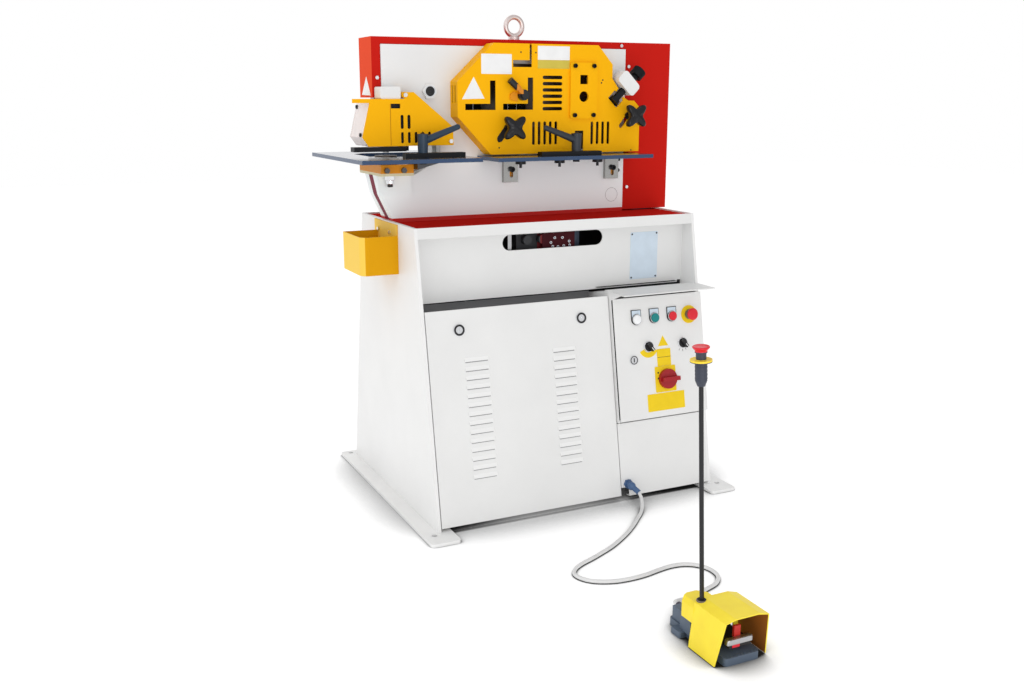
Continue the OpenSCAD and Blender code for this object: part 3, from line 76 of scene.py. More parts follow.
X, Y, Z = range(3)
MIX_FACTOR, MIX_LOW, MIX_HIGH, MIX_RESULT = 0, 6, 7, 2
MM = 0.001
BOTTOM_DEPTH = 0.820
TOP_DEPTH = 0.500
CABINET_H = 0.915
FOOT_T = 0.010
SLANT = math.atan((BOTTOM_DEPTH - TOP_DEPTH) / 2 / (CABINET_H - FOOT_T))
BACK_RIM = 0.895
INNER_SHADE_DEPTH = 0.0015
DOOR_RIM = 0.668
PLATE_FRONT = -0.040
GUARD_FACE = -0.098
SHIELD_FACE = -0.102
RECESS_Y = -0.203
ENC_FACE = 0.0125
ENC_TOP = 0.683
POST_FOOT = Vector((-0.169, -1.292, 0.070))
POST_LEAN = math.radians(3.0)
SMOOTH_BELOW = 35.0
SOFT_EDGE = 0.0004
SIGN_T, SIGN_EDGE = 0.0006, 0.0002
LINE_T, LINE_EDGE = 0.0002, 0.00005
FINE_EDGE = 0.0001
RING_SOFT = 0.25
STRIP_STEPS = 3
RIDGE_ROUND, RIDGE_SOFT = 0.4, 0.3
HERE = Matrix.Identity(4)
WHITE_LIGHT: Colour = (1.0, 1.0, 1.0)
NO_LIGHT: Colour = (0.0, 0.0, 0.0)


class Body(Enum):
    """Rigid bodies of the frame that pieces ride on."""

    MACHINE = "machine"
    ENCLOSURE_DOOR = "enclosure_door"
    ENCLOSURE_LOCK = "enclosure_lock"
    FRONT_DOOR = "front_door"
    FOOT_PEDAL = "foot_pedal"
    HOLD_DOWN = "hold_down_screw"
    LEFT_STAR = "left_star_knob"
    RIGHT_STAR = "right_star_knob"
    LEFT_LEVER = "left_clamp_lever"
    RIGHT_LEVER = "right_clamp_lever"
    LEFT_SELECTOR = "left_selector"
    RIGHT_SELECTOR = "right_selector"
    LEFT_CATCH = "left_door_catch"
    RIGHT_CATCH = "right_door_catch"


def arithmetic(operation: str, reflected: bool = False) -> Callable[["Sock", Operand], "Sock"]:
    """Make one arithmetic method of a socket.

    Args:
        operation: What its Math node does.
        reflected: Whether the other value comes first.

    Returns:
        The method.
    """
    def method(self: "Sock", other: Operand) -> "Sock":
        """Work out one sum.

        Args:
            other: Second value of the sum.

        Returns:
            The result as a new socket.
        """
        pair = (other, self) if reflected else (self, other)
        made = self.graph.node("ShaderNodeMath", {"operation": operation}, dict(enumerate(pair)))
        return Sock(self.graph, made.outputs[0])
    return method


class Sock:
    """A node socket that takes part in sums with numbers and other sockets."""

    __add__, __radd__ = arithmetic("ADD"), arithmetic("ADD", True)
    __sub__, __rsub__ = arithmetic("SUBTRACT"), arithmetic("SUBTRACT", True)
    __mul__, __rmul__ = arithmetic("MULTIPLY"), arithmetic("MULTIPLY", True)
    __lt__, __gt__ = arithmetic("LESS_THAN"), arithmetic("GREATER_THAN")

    def __init__(self, graph: "Graph", socket: bpy.types.NodeSocket) -> None:
        """Keep the socket and the graph that it belongs to."""
        self.graph = graph
        self.socket = socket

    def ramp(self, low: float, high: float) -> "Sock":
        """Returns: low..high mapped to 0..1 and clamped."""
        made = self.graph.node("ShaderNodeMapRange", {"clamp": True},
                               {"Value": self, "From Min": low, "From Max": high})
        return Sock(self.graph, made.outputs["Result"])


class Graph:
    """A node tree under construction; every node comes from its one method."""

    def __init__(self, tree: bpy.types.NodeTree) -> None:
        """Keep the tree."""
        self.tree = tree

    def node(self, kind: str, settings: Mapping[str, Any] | None = None,
             sockets: Mapping[Union[str, int], Value] | None = None) -> bpy.types.Node:
        """Make one node of the tree.

        Args:
            kind: Type of the node.
            settings: Properties, set before its sockets.
            sockets: Values or links by socket name or number.

        Returns:
            The node.
        """
        made = self.tree.nodes.new(kind)
        for name, setting in (settings or {}).items():
            setattr(made, name, setting)
        for key, value in (sockets or {}).items():
            self.plug(made.inputs[key], value)
        return made

    def plug(self, slot: bpy.types.NodeSocket, value: Value) -> None:
        """Link or set one socket.

        Args:
            slot: Input to fill.
            value: Socket, switch, name, number, colour or vector.
        """
        if isinstance(value, Sock):
            self.tree.links.new(value.socket, slot)
        elif isinstance(value, bpy.types.NodeSocket):
            self.tree.links.new(value, slot)
        elif isinstance(value, (bool, str)):
            slot.default_value = value
        elif isinstance(value, (int, float)):
            slot.default_value = float(value)
        else:
            slot.default_value = (*value, 1.0) if slot.type == "RGBA" else tuple(value)


class Shader(Graph):
    """One procedural material under construction, in object coordinates."""

    def __init__(self, name: str) -> None:
        """Start a material with its surface shader and coordinates.

        Args:
            name: Name of the material.
        """
        self.material = bpy.data.materials.new(name)
        self.material.use_nodes = True
        super().__init__(self.material.node_tree)
        self.bsdf = self.tree.nodes["Principled BSDF"]
        self.coords = self.node("ShaderNodeTexCoord").outputs["Object"]

    def noise(self, scale: float, detail: float = 3.0, stretch: Sequence[float] = (1, 1, 1)) -> Sock:
        """Smooth noise of 0..1.

        Args:
            scale: Features per metre.
            detail: Octaves.
            stretch: Scale along each axis, small values draw the grain out.

        Returns:
            The noise value.
        """
        source = self.coords
        if tuple(stretch) != (1, 1, 1):
            drawn = self.node("ShaderNodeMapping", {}, {"Vector": source, "Scale": stretch})
            source = drawn.outputs["Vector"]
        made = self.node("ShaderNodeTexNoise", {}, {"Vector": source, "Scale": scale, "Detail": detail})
        return Sock(self, made.outputs["Fac"])

    def axis(self, index: int) -> Sock:
        """Returns: the object coordinate x, y or z by its number."""
        return Sock(self, self.node("ShaderNodeSeparateXYZ", {}, {0: self.coords}).outputs[index])

    def normal(self, index: int) -> Sock:
        """Returns: the x, y or z part of the surface normal by its number, in object coordinates."""
        facing = self.node("ShaderNodeTexCoord").outputs["Normal"]
        return Sock(self, self.node("ShaderNodeSeparateXYZ", {}, {0: facing}).outputs[index])

    def mix(self, amount: Operand, low: Union[Sock, Colour], high: Union[Sock, Colour]) -> Sock:
        """Returns: the colour low where the amount is 0, high where it is 1, and a blend between."""
        made = self.node("ShaderNodeMix", {"data_type": "RGBA"},
                         {MIX_FACTOR: amount, MIX_LOW: low, MIX_HIGH: high})
        return Sock(self, made.outputs[MIX_RESULT])

    def feed(self, name: str, value: Value) -> None:
        """Set or link the named input of the surface shader."""
        self.plug(self.bsdf.inputs[name], value)

    def bump(self, height: Sock, strength: float, distance: float) -> None:
        """Raise the surface by a height pattern.

        Args:
            height: Pattern of 0..1.
            strength: Share of the effect.
            distance: Height of the pattern in metres.
        """
        made = self.node("ShaderNodeBump", {},
                         {"Strength": strength, "Distance": distance, "Height": height})
        self.feed("Normal", made.outputs["Normal"])

    def varied(self, amount: Operand, colour: Colour, tones: Pair) -> Sock:
        """Returns: one colour that varies between two factors by an amount of 0..1."""
        return self.mix(amount, *(shade(colour, by) for by in tones))


def shade(colour: Colour, by: float) -> Colour:
    """Returns: the colour made lighter or darker by a factor."""
    return tuple(min(1.0, c * by) for c in colour)


@dataclass(frozen=True)
class Region:
    """Box in object coordinates, open on the sides that are not given."""

    x: Span = ANY
    y: Span = ANY
    z: Span = ANY

    def mask(self, s: Shader) -> Sock:
        """Test for the box.

        Args:
            s: Material under construction.

        Returns:
            1 inside the box, 0 outside.
        """
        tests: list[Sock] = []
        for index, (low, high) in enumerate((self.x, self.y, self.z)):
            if low is not None:
                tests.append(s.axis(index) > low)
            if high is not None:
                tests.append(s.axis(index) < high)
        found = tests[0]
        for test in tests[1:]:
            found = found * test
        return found


@dataclass(frozen=True)
class BackInnerShade:
    """Inner face of the sloped back panel, which gets painted shade."""

    def mask(self, s: Shader) -> Sock:
        """Returns: 1 on the inner face."""
        outer = BOTTOM_DEPTH / 2 - (s.axis(Z) - FOOT_T) * math.tan(SLANT)
        return ((outer - s.axis(Y)) > INNER_SHADE_DEPTH) * (s.axis(Z) < BACK_RIM)


@dataclass(frozen=True)
class AlongPost:
    """Part of the leaning post between two distances from its foot."""

    low: float
    high: float

    def mask(self, s: Shader) -> Sock:
        """Returns: 1 between the two distances."""
        along = ((s.axis(Z) - POST_FOOT.z) * math.cos(POST_LEAN)
                 - (s.axis(X) - POST_FOOT.x) * math.sin(POST_LEAN))
        return (along > self.low) * (along < self.high)


@dataclass(frozen=True)
class LeftFaces:
    """Faces of the object that look to the left."""

    lean: float = 0.5
    within: Region | None = None

    def mask(self, s: Shader) -> Sock:
        """Returns: 1 where the surface looks to the left."""
        found = s.normal(X) < -self.lean
        return found * self.within.mask(s) if self.within else found


@dataclass(frozen=True)
class UpturnedFaces:
    """Faces that lean upwards by an amount between two limits."""

    low: float
    high: float

    def mask(self, s: Shader) -> Sock:
        """Returns: 1 where the upward part of the normal lies between the limits."""
        return (s.normal(Z) > self.low) * (s.normal(Z) < self.high)


@dataclass(frozen=True)
class Below:
    """Lower part of an object, fading out between two heights."""

    low: float
    high: float

    def mask(self, s: Shader) -> Sock:
        """Returns: 1 below the lower height, 0 above the upper one."""
        return s.axis(Z).ramp(self.high, self.low)


@dataclass(frozen=True)
class Patch:
    """Another colour on one part of a surface."""

    where: Union[Region, BackInnerShade, AlongPost, LeftFaces, UpturnedFaces, Below]
    colour: Colour


def patched(s: Shader, base: Sock, patches: Iterable[Patch]) -> Sock:
    """Lay patches over a colour.

    Args:
        s: Material under construction.
        base: Colour to begin with.
        patches: Laid over it in turn.

    Returns:
        The colour with every patch on it.
    """
    for patch in patches:
        base = s.mix(patch.where.mask(s), base, patch.colour)
    return base


@dataclass(frozen=True)
class Paint:
    """Sprayed paint or powder coat with orange peel, dust and faint handling marks."""

    name: str
    colour: Colour
    roughness: float = 0.42
    peel: float = 0.25
    peel_scale: float = 420.0
    dust: float = 0.06
    shine: float = 0.30
    patches: tuple[Patch, ...] = ()
    peel_height: float = 0.00012
    peel_detail: float = 2.0
    cloud: Pair = (5.0, 4.0)
    cloud_fade: Pair = (0.3, 0.75)
    cloud_share: float = 0.8
    speck_scale: float = 60.0
    tones: Pair = (0.965, 1.03)
    wear: float = 0.1
    dust_colour: Colour = (0.42, 0.40, 0.37)
    dust_slope: Pair = (0.4, 1.0)
    dust_cloud: Pair = (18.0, 5.0)
    dust_fade: Pair = (0.35, 0.8)
    dust_wear: float = 0.25

    def build(self) -> bpy.types.Material:
        """Returns: the finished material."""
        s = Shader(self.name)
        cloud = s.noise(*self.cloud)
        specks = s.noise(self.speck_scale) * (1 - self.cloud_share)
        base = s.varied(cloud.ramp(*self.cloud_fade) * self.cloud_share + specks, self.colour, self.tones)
        drift = s.noise(*self.dust_cloud).ramp(*self.dust_fade)
        settled = s.normal(Z).ramp(*self.dust_slope) * drift * self.dust
        base = s.mix(settled, base, self.dust_colour)
        s.feed("Base Color", patched(s, base, self.patches))
        s.feed("Roughness", self.roughness - self.wear / 2 + self.wear * cloud + self.dust_wear * settled)
        s.feed("Specular IOR Level", self.shine)
        s.bump(s.noise(self.peel_scale, self.peel_detail), self.peel, self.peel_height)
        return s.material


@dataclass(frozen=True)
class Metal:
    """Ground, turned or plated metal with drawn-out grain, painted on its edges where told."""

    name: str
    colour: Colour
    roughness: float = 0.3
    grain: Sequence[float] = (1, 1, 1)
    grain_scale: float = 300.0
    edge_paint: Colour | None = None
    bare_below: float = 0.0
    patches: tuple[Patch, ...] = ()
    grain_height: float = 0.00006
    grain_detail: float = 3.0
    relief: float = 0.18
    stain: Pair = (9.0, 5.0)
    line_share: float = 0.6
    tones: Pair = (0.82, 1.08)
    top_slope: Pair = (0.8, 0.95)
    stain_wear: float = 0.12
    line_wear: float = 0.06

    def build(self) -> bpy.types.Material:
        """Returns: the finished material."""
        s = Shader(self.name)
        lines = s.noise(self.grain_scale, self.grain_detail, self.grain)
        stain = s.noise(*self.stain)
        blend = lines * self.line_share + stain * (1 - self.line_share)
        tone = patched(s, s.varied(blend, self.colour, self.tones), self.patches)
        metallic: Operand = 1.0
        if self.edge_paint is not None:
            low = s.axis(Z) < self.bare_below
            metallic = (s.normal(Z).ramp(*self.top_slope) + low).ramp(0.0, 1.0)
            tone = s.mix(metallic, self.edge_paint, tone)
        s.feed("Base Color", tone)
        s.feed("Metallic", metallic)
        s.feed("Roughness", self.roughness - self.stain_wear / 2 + self.stain_wear * stain
               + self.line_wear * lines)
        s.bump(lines, self.relief, self.grain_height)
        return s.material


@dataclass(frozen=True)
class Plastic:
    """Moulded plastic or rubber with a fine spark grain."""

    name: str
    colour: Colour
    roughness: float = 0.4
    grain: float = 0.3
    grain_scale: float = 900.0
    shine: float = 0.4
    patches: tuple[Patch, ...] = ()
    grain_height: float = 0.00008
    grain_detail: float = 2.0
    blotch: Pair = (24.0, 4.0)
    tones: Pair = (0.90, 1.10)
    wear: float = 0.12
    wear_scale: float = 70.0

    def build(self) -> bpy.types.Material:
        """Returns: the finished material."""
        s = Shader(self.name)
        base = s.varied(s.noise(*self.blotch), self.colour, self.tones)
        s.feed("Base Color", patched(s, base, self.patches))
        s.feed("Roughness", self.roughness - self.wear / 2 + self.wear * s.noise(self.wear_scale))
        s.feed("Specular IOR Level", self.shine)
        s.bump(s.noise(self.grain_scale, self.grain_detail), self.grain, self.grain_height)
        return s.material


@dataclass(frozen=True)
class ClearSheet:
    """Tinted clear sheet with faint scratches."""

    name: str
    tint: Colour
    alpha: float = 0.55
    haze: Pair = (30.0, 4.0)
    haze_share: float = 0.1
    tones: Pair = (0.94, 1.04)
    roughness: float = 0.12
    scratch: float = 0.1
    scratch_noise: tuple[float, float, Triple] = (200.0, 2.0, (1, 1, 0.1))

    def build(self) -> bpy.types.Material:
        """Returns: the finished material."""
        s = Shader(self.name)
        haze = s.noise(*self.haze)
        s.feed("Base Color", s.varied(haze, self.tint, self.tones))
        s.feed("Roughness", self.roughness + self.scratch * s.noise(*self.scratch_noise))
        s.feed("Alpha", self.alpha - self.haze_share / 2 + self.haze_share * haze)
        return s.material


DEEP_RED: Colour = (0.56, 0.016, 0.011)
# Painted shade colour for the frame behind the shear guard.
GAP_SHADE_BROWN: Colour = (0.045, 0.028, 0.018)
# Painted light: the side and back panels' white is lighter than the front panels' white of Finish.WHITE, as
# if lit from the left.
WHITE_COAT: Colour = (0.84, 0.84, 0.835)
# Painted shade: grey laid on the white panels' inner faces for the darkness inside the cabinet.
INTERIOR_SHADE_GREY: Colour = (0.060, 0.060, 0.065)
SLATE_GRIP: Colour = (0.040, 0.047, 0.070)
BRIGHT_YELLOW: Colour = (0.93, 0.68, 0.035)


class Finish(Enum):
    """Every finish on the machine, by name."""

    # Painted shade: the front panels get a darker copy of the same white, for the weaker light in front.
    WHITE = Paint("white_powder_coat", (0.785, 0.785, 0.78))
    DOOR_WHITE = Paint("white_powder_coat_door", (0.785, 0.785, 0.78), patches=(
        # Painted light: faces that lean upwards, the louvres' slopes, are made lighter as if lit from above.
        Patch(UpturnedFaces(0.45, 0.65), (0.875, 0.875, 0.87)),))
    # The side and back panels' inner faces get the painted interior shade.
    WHITE_SIDE = Paint("white_powder_coat_side", WHITE_COAT, patches=(
        Patch(Region(x=(-0.4905, 0.4905), y=(-0.200, None), z=(0.0105, 0.880)), INTERIOR_SHADE_GREY),))
    WHITE_BACK = Paint("white_powder_coat_back", WHITE_COAT, patches=(Patch(BackInnerShade(), INTERIOR_SHADE_GREY),))
    FRAME = Paint("white_frame_paint", (0.80, 0.80, 0.80), 0.40, peel=0.4, peel_scale=260.0, patches=(
        # Painted light: the frame below 1.16 m is made lighter and bluer to offset the shade and red glow
        # under the tables.
        Patch(Below(1.00, 1.16), (0.93, 0.985, 0.985)),
        # Painted shade: dark brown where the frame lies in shade behind the shear guard and inside its
        # window.
        Patch(Region(x=(-0.275, 0.235), y=(-0.0395, 0.120), z=(1.190, 1.410)), GAP_SHADE_BROWN),
        Patch(Region(x=(-0.190, 0.290), y=(None, -0.0385), z=(1.126, 1.215)), GAP_SHADE_BROWN),
        Patch(Region(z=(None, 0.9235)), DEEP_RED)))
    RED = Paint("red_satin_paint", DEEP_RED, 0.5, dust=0.0, shine=0.0, patches=(
        # Painted light: faces that look left are a lighter orange red, as if lit from the left.
        Patch(LeftFaces(0.8), (0.78, 0.090, 0.042)),))
    VALVE_RED = Paint("valve_cover_paint", (0.050, 0.004, 0.008), 0.5, dust=0.0, shine=0.1)
    # Painted shade: the machine's red, made dark for the shaded gap between the frame plates in the throat.
    LINER_RED = Paint("dark_red_lining", (0.20, 0.004, 0.030), 0.5, dust=0.0, shine=0.15)
    YELLOW = Paint("yellow_satin_paint", (0.96, 0.47, 0.004), 0.42, dust=0.0, shine=0.05)
    # Painted shade and light: the tray gets the guards' yellow made darker for its shade, and its left faces
    # are lighter as if lit from the left.
    TRAY = Paint("yellow_tray_paint", (0.73, 0.345, 0.004), 0.42, dust=0.0, shine=0.05, patches=(
        Patch(LeftFaces(), (0.93, 0.62, 0.10)),))
    BOLSTER = Paint("orange_bolster_paint", (0.72, 0.26, 0.010), 0.42, dust=0.0, shine=0.15, patches=(
        Patch(Region(z=(None, 1.0670)), (0.74, 0.66, 0.42)),))
    ORANGE = Paint("orange_gloss_paint", (0.80, 0.30, 0.010), 0.42, dust=0.0, shine=0.15)
    # Painted shade: a darker orange for the shade along the guard's bend.
    SEAM = Paint("orange_fold_line", (0.42, 0.16, 0.004), 0.5, dust=0.0, shine=0.1)
    DARK = Paint("dark_grey_paint", (0.035, 0.036, 0.040), 0.5, patches=(
        Patch(Region(x=(-0.045, 0.080), z=(0.780, None)), (0.16, 0.008, 0.012)),
        Patch(Region(x=(0.080, None), z=(0.780, None)), (0.030, 0.045, 0.075))))
    RAIL = Paint("grey_rail_paint", (0.30, 0.30, 0.31), 0.55, dust=0.0, shine=0.15)
    MOTOR = Paint("blue_grey_paint", (0.10, 0.14, 0.18), 0.42)
    BLACK_STEEL = Metal("blacked_steel", (0.026, 0.027, 0.030), 0.42, (1, 0.05, 1))
    # Painted shade: below its top, the left table's bracket is dark grey for the shade beneath the table.
    LEFT_TOP = Metal("bright_ground_table", (0.49, 0.50, 0.535), 0.17, (0.03, 1, 1), 420.0,
                     (0.020, 0.052, 0.125), 1.1045, (Patch(Region(z=(None, 1.1045)), (0.09, 0.09, 0.095)),))
    RIGHT_TOP = Metal("ground_table", (0.34, 0.35, 0.40), 0.22, (0.03, 1, 1), 420.0,
                      (0.020, 0.052, 0.125), 1.0995, (Patch(Region(z=(None, 1.0995)), (0.36, 0.355, 0.345)),))
    STEEL = Metal("ground_steel", (0.50, 0.50, 0.51), 0.34, (0.06, 1, 1))
    # Painted reflection: the pink in this steel stands for the red cover mirrored in the lifting eye.
    EYE_STEEL = Metal("forged_eye_steel", (0.78, 0.68, 0.66), 0.36, grain_scale=80.0)
    TOOL_STEEL = Metal("tool_steel", (0.13, 0.105, 0.09), 0.38, (1, 1, 0.08))
    CHROME = Metal("polished_chrome", (0.82, 0.83, 0.85), 0.10, grain_scale=120.0)
    ZINC = Metal("zinc_plated", (0.80, 0.80, 0.82), 0.24, patches=(
        Patch(Region(x=(0.090, 0.220), y=(None, -0.104), z=(1.220, 1.420)), (0.022, 0.022, 0.024)),
        Patch(Region(x=(-0.200, None), z=(1.040, 1.115)), (0.022, 0.022, 0.024)),
        Patch(Region(x=(-0.560, -0.400), y=(None, -0.080), z=(1.060, 1.110)), (0.10, 0.10, 0.105))))
    RUBBER = Plastic("dark_rubber", (0.016, 0.016, 0.018), 0.6, shine=0.2)
    BLACK = Plastic("black_moulded_plastic", (0.012, 0.012, 0.014), 0.38)
    STAR = Plastic("glossy_knob_plastic", (0.008, 0.008, 0.010), 0.24, 0.10, shine=0.3)
    HANDLE = Plastic("black_handle_plastic", (0.012, 0.012, 0.014), 0.34, patches=(
        Patch(Region(x=(-0.100, -0.075), z=(1.305, 1.335)), (0.70, 0.24, 0.008)),))
    POST = Plastic("black_post_and_grip", (0.010, 0.010, 0.012), 0.45, patches=(
        Patch(AlongPost(0.5865, 1.0), SLATE_GRIP), Patch(AlongPost(0.6462, 0.6503), BRIGHT_YELLOW)))
    SLATE = Plastic("slate_lever_plastic", (0.016, 0.038, 0.070), 0.40)
    SLATE_DARK = Plastic("dark_slate_lever_plastic", (0.022, 0.027, 0.036), 0.45)
    BASE_GREY = Plastic("blue_grey_pedal_base", (0.090, 0.122, 0.172), 0.5, patches=(
        Patch(Region(y=(-1.166, None)), (0.060, 0.052, 0.075)),))
    TREADLE = Plastic("black_treadle_plastic", (0.014, 0.013, 0.014), 0.45, patches=(
        Patch(Region(y=(-1.376, -1.366), z=(0.0525, None)), (0.55, 0.022, 0.016)),))
    GLAND = Plastic("blue_gland_plastic", (0.06, 0.12, 0.25), 0.42)
    POST_RED = Plastic("red_post_button_plastic", (0.70, 0.012, 0.030), 0.30, 0.12, patches=(
        Patch(AlongPost(0.0, 0.6685), SLATE_GRIP),))
    RED_PLASTIC = Plastic("red_moulded_plastic", (0.70, 0.012, 0.030), 0.30, 0.12)
    SWITCH_RED = Plastic("deep_red_switch_plastic", (0.36, 0.006, 0.012), 0.34, 0.15)
    GREEN = Plastic("teal_button_plastic", (0.004, 0.22, 0.22), 0.3, 0.12)
    LAMP = Plastic("white_lamp_lens", (0.88, 0.89, 0.90), 0.2, 0.05)
    HOOD = Plastic("bright_yellow_hood", (0.97, 0.74, 0.040), 0.42, 0.2, shine=0.25, patches=(
        # Painted shade: the hood's inner wall that looks left is dark orange brown for the shade inside the
        # hood.
        Patch(LeftFaces(0.5, Region(x=(-0.120, None), y=(None, -1.285))), (0.36, 0.12, 0.02)),))
    LABEL_YELLOW = Plastic("yellow_plate", (0.85, 0.60, 0.012), 0.45, 0.05, shine=0.2)
    LABEL_BLUE = Plastic("pale_blue_plate", (0.62, 0.72, 0.82), 0.40, 0.05)
    LABEL_WHITE = Plastic("plain_white_plate", (0.86, 0.86, 0.86), 0.40, 0.05)
    LABEL_OCHRE = Plastic("ochre_plate", (0.62, 0.50, 0.075), 0.45, 0.05, shine=0.2)
    BOLT_BLUE = Plastic("blue_plug", (0.02, 0.06, 0.14), 0.35, 0.05)
    NECK = Plastic("grey_brown_neck", (0.17, 0.135, 0.10), 0.45)
    CORD = Plastic("pale_grey_cord", (0.74, 0.74, 0.74), 0.5, 0.35, 500.0)
    WINDOW = ClearSheet("clear_guard_sheet", (0.90, 0.80, 0.77), 0.62)

    def material(self) -> bpy.types.Material:
        """Returns: the one material of this finish, built on first use."""
        return bpy.data.materials.get(self.value.name) or self.value.build()


NODES_OF: dict[Finish, tuple[str, ...]] = {
    Finish.WHITE: ("upper_front_panel", "right_front_panel", "enclosure_box", "enclosure_door", "switch_box"),
    Finish.DOOR_WHITE: ("front_door",),
    Finish.WHITE_SIDE: ("left_side_panel", "right_side_panel"),
    Finish.WHITE_BACK: ("back_panel",),
    Finish.FRAME: ("front_frame_plate", "rear_frame_plate", "pivot_pin", "hold_down_block"),
    Finish.RED: ("cabinet_top", "rear_cover"),
    Finish.TRAY: ("tool_tray",),
    Finish.YELLOW: ("punch_guard", "shear_guard", "bar_shear_plate"),
    Finish.BOLSTER: ("die_bolster",),
    Finish.DARK: ("cylinder_barrel", "hydraulic_unit"),
    Finish.RAIL: ("door_rail",),
    Finish.MOTOR: ("electric_motor",),
    Finish.BLACK_STEEL: ("stripper", "left_gauge", "right_gauge", "hold_down_screw"),
    Finish.LEFT_TOP: ("left_table",),
    Finish.RIGHT_TOP: ("right_table",),
    Finish.STEEL: ("punch_ram",),
    Finish.EYE_STEEL: ("lifting_eye",),
    Finish.TOOL_STEEL: ("rocker_beam", "fixed_tooling"),
    Finish.CHROME: ("left_door_catch", "right_door_catch", "enclosure_lock", "cylinder_rod"),
    Finish.ZINC: ("screws",),
    Finish.BLACK: ("legend_plates", "left_selector", "right_selector"),
    Finish.STAR: ("left_star_knob", "right_star_knob"),
    Finish.HANDLE: ("angle_handle",),
    Finish.POST: ("stop_post",),
    Finish.SLATE: ("left_clamp_lever",),
    Finish.SLATE_DARK: ("right_clamp_lever",),
    Finish.BASE_GREY: ("pedal_base",),
    Finish.TREADLE: ("foot_pedal",),
    Finish.GLAND: ("cable_gland",),
    Finish.RED_PLASTIC: ("stop_button", "emergency_button"),
    Finish.POST_RED: ("post_button",),
    Finish.SWITCH_RED: ("main_switch_knob",),
    Finish.GREEN: ("start_button",),
    Finish.HOOD: ("pedal_hood",),
    Finish.LABEL_YELLOW: ("switch_plates",),
    Finish.CORD: ("pedal_cord",),
    Finish.WINDOW: ("guard_window",)}


@dataclass(frozen=True)
class Face:
    """A working plane on the machine: x across, y up, z out of the plane."""

    matrix: Matrix

    @classmethod
    def sloped(cls) -> "Face":
        """Returns: the cabinet's sloped front, y measured from the top of the floor plates."""
        rise, lean = math.cos(SLANT), math.sin(SLANT)
        return cls(Matrix(((1, 0, 0, 0), (0, lean, -rise, -BOTTOM_DEPTH / 2), (0, rise, lean, FOOT_T),
                           (0, 0, 0, 1))))

    @classmethod
    def upright(cls, y: float) -> "Face":
        """Returns: the upright plane at y that looks at the operator, y on it measured from the floor."""
        return cls(Matrix(((1, 0, 0, 0), (0, 0, -1, y), (0, 1, 0, 0), (0, 0, 0, 1))))

    @classmethod
    def leftward(cls, x: float) -> "Face":
        """Returns: the upright plane at x that looks to the left, y on it measured from the floor."""
        return cls(Matrix(((0, 0, -1, x), (-1, 0, 0, 0), (0, 1, 0, 0), (0, 0, 0, 1))))

    def at(self, x: float = 0.0, y: float = 0.0, z: float = 0.0, turn: float = 0.0) -> Matrix:
        """Returns: the place x across, y up and z out, turned by degrees about the outward axis."""
        return self.matrix @ shift(x, y, z) @ spin(turn)


def shift(x: float = 0.0, y: float = 0.0, z: float = 0.0) -> Matrix:
    """Returns: the matrix of a move."""
    return Matrix.Translation((x, y, z))


def spin(degrees: float, axis: str = "Z") -> Matrix:
    """Returns: the matrix of a turn about one axis."""
    return Matrix.Rotation(math.radians(degrees), 4, axis)


def slope_y(z: float) -> float:
    """Returns: the distance up the sloped front for a height above the floor."""
    return (z - FOOT_T) / math.cos(SLANT)


def on_circle(radius: float, index: int, count: int) -> Pair:
    """Returns: one of evenly spaced points on a circle about the origin."""
    angle = 2 * math.pi * index / count
    return radius * math.cos(angle), radius * math.sin(angle)


def middle_of(outline: Pairs) -> Pair:
    """Returns: the mean of an outline's corners."""
    return sum(x for x, _ in outline) / len(outline), sum(y for _, y in outline) / len(outline)


def rectangle(w: float, h: float, r: float = 0.0, steps: int = 5) -> list[Pair]:
    """Rectangle about the origin, with round corners where r is given.

    Args:
        w: Width.
        h: Height.
        r: Corner radius.
        steps: Points on each corner.

    Returns:
        Corners, anticlockwise.
    """
    if r <= 0:
        return [(-w / 2, -h / 2), (w / 2, -h / 2), (w / 2, h / 2), (-w / 2, h / 2)]
    out: list[Pair] = []
    for sx, sy, start in ((1, -1, -90), (1, 1, 0), (-1, 1, 90), (-1, -1, 180)):
        for i in range(steps + 1):
            a = math.radians(start + 90 * i / steps)
            out.append((sx * (w / 2 - r) + r * math.cos(a), sy * (h / 2 - r) + r * math.sin(a)))
    return out


@dataclass(frozen=True)
class Flat:
    """Size of one flat rectangular plate, with the radius of its corners and the width of its soft edge."""

    width: float
    height: float
    thick: float = SIGN_T
    corner: float = 0.0
    edge: float = SOFT_EDGE


def in_scene(name: str, data: bpy.types.ID) -> bpy.types.Object:
    """Make an object of the scene.

    Args:
        name: Name of the object.
        data: What it shows.

    Returns:
        The object.
    """
    obj = bpy.data.objects.new(name, data)
    bpy.context.scene.collection.objects.link(obj)
    return obj


def mesh_from(bm: bmesh.types.BMesh, name: str) -> bpy.types.Mesh:
    """Make a plain mesh, its faces turned outwards, and free its source.

    Args:
        bm: Gathered shapes.
        name: Name of the mesh.

    Returns:
        The mesh.
    """
    bmesh.ops.recalc_face_normals(bm, faces=bm.faces[:])
    mesh = bpy.data.meshes.new(name)
    bm.to_mesh(mesh)
    bm.free()
    return mesh


def hand_over(name: str, mesh: bpy.types.Mesh, body: Body,
              smooth: float = SMOOTH_BELOW) -> bpy.types.Object:
    """Put a finished mesh in the scene, on its body.

    Args:
        name: Name of the piece.
        mesh: Finished mesh with its material.
        body: Body that it rides on.
        smooth: Edges flatter than this many degrees are shaded smooth.

    Returns:
        The piece.
    """
    obj = in_scene(name, mesh)
    for polygon in mesh.polygons:
        polygon.use_smooth = True
    mesh.set_sharp_from_angle(angle=math.radians(smooth))
    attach(obj, body.value)
    LOG.info("piece %s on %s, %d faces", name, body.value, len(mesh.polygons))
    return obj


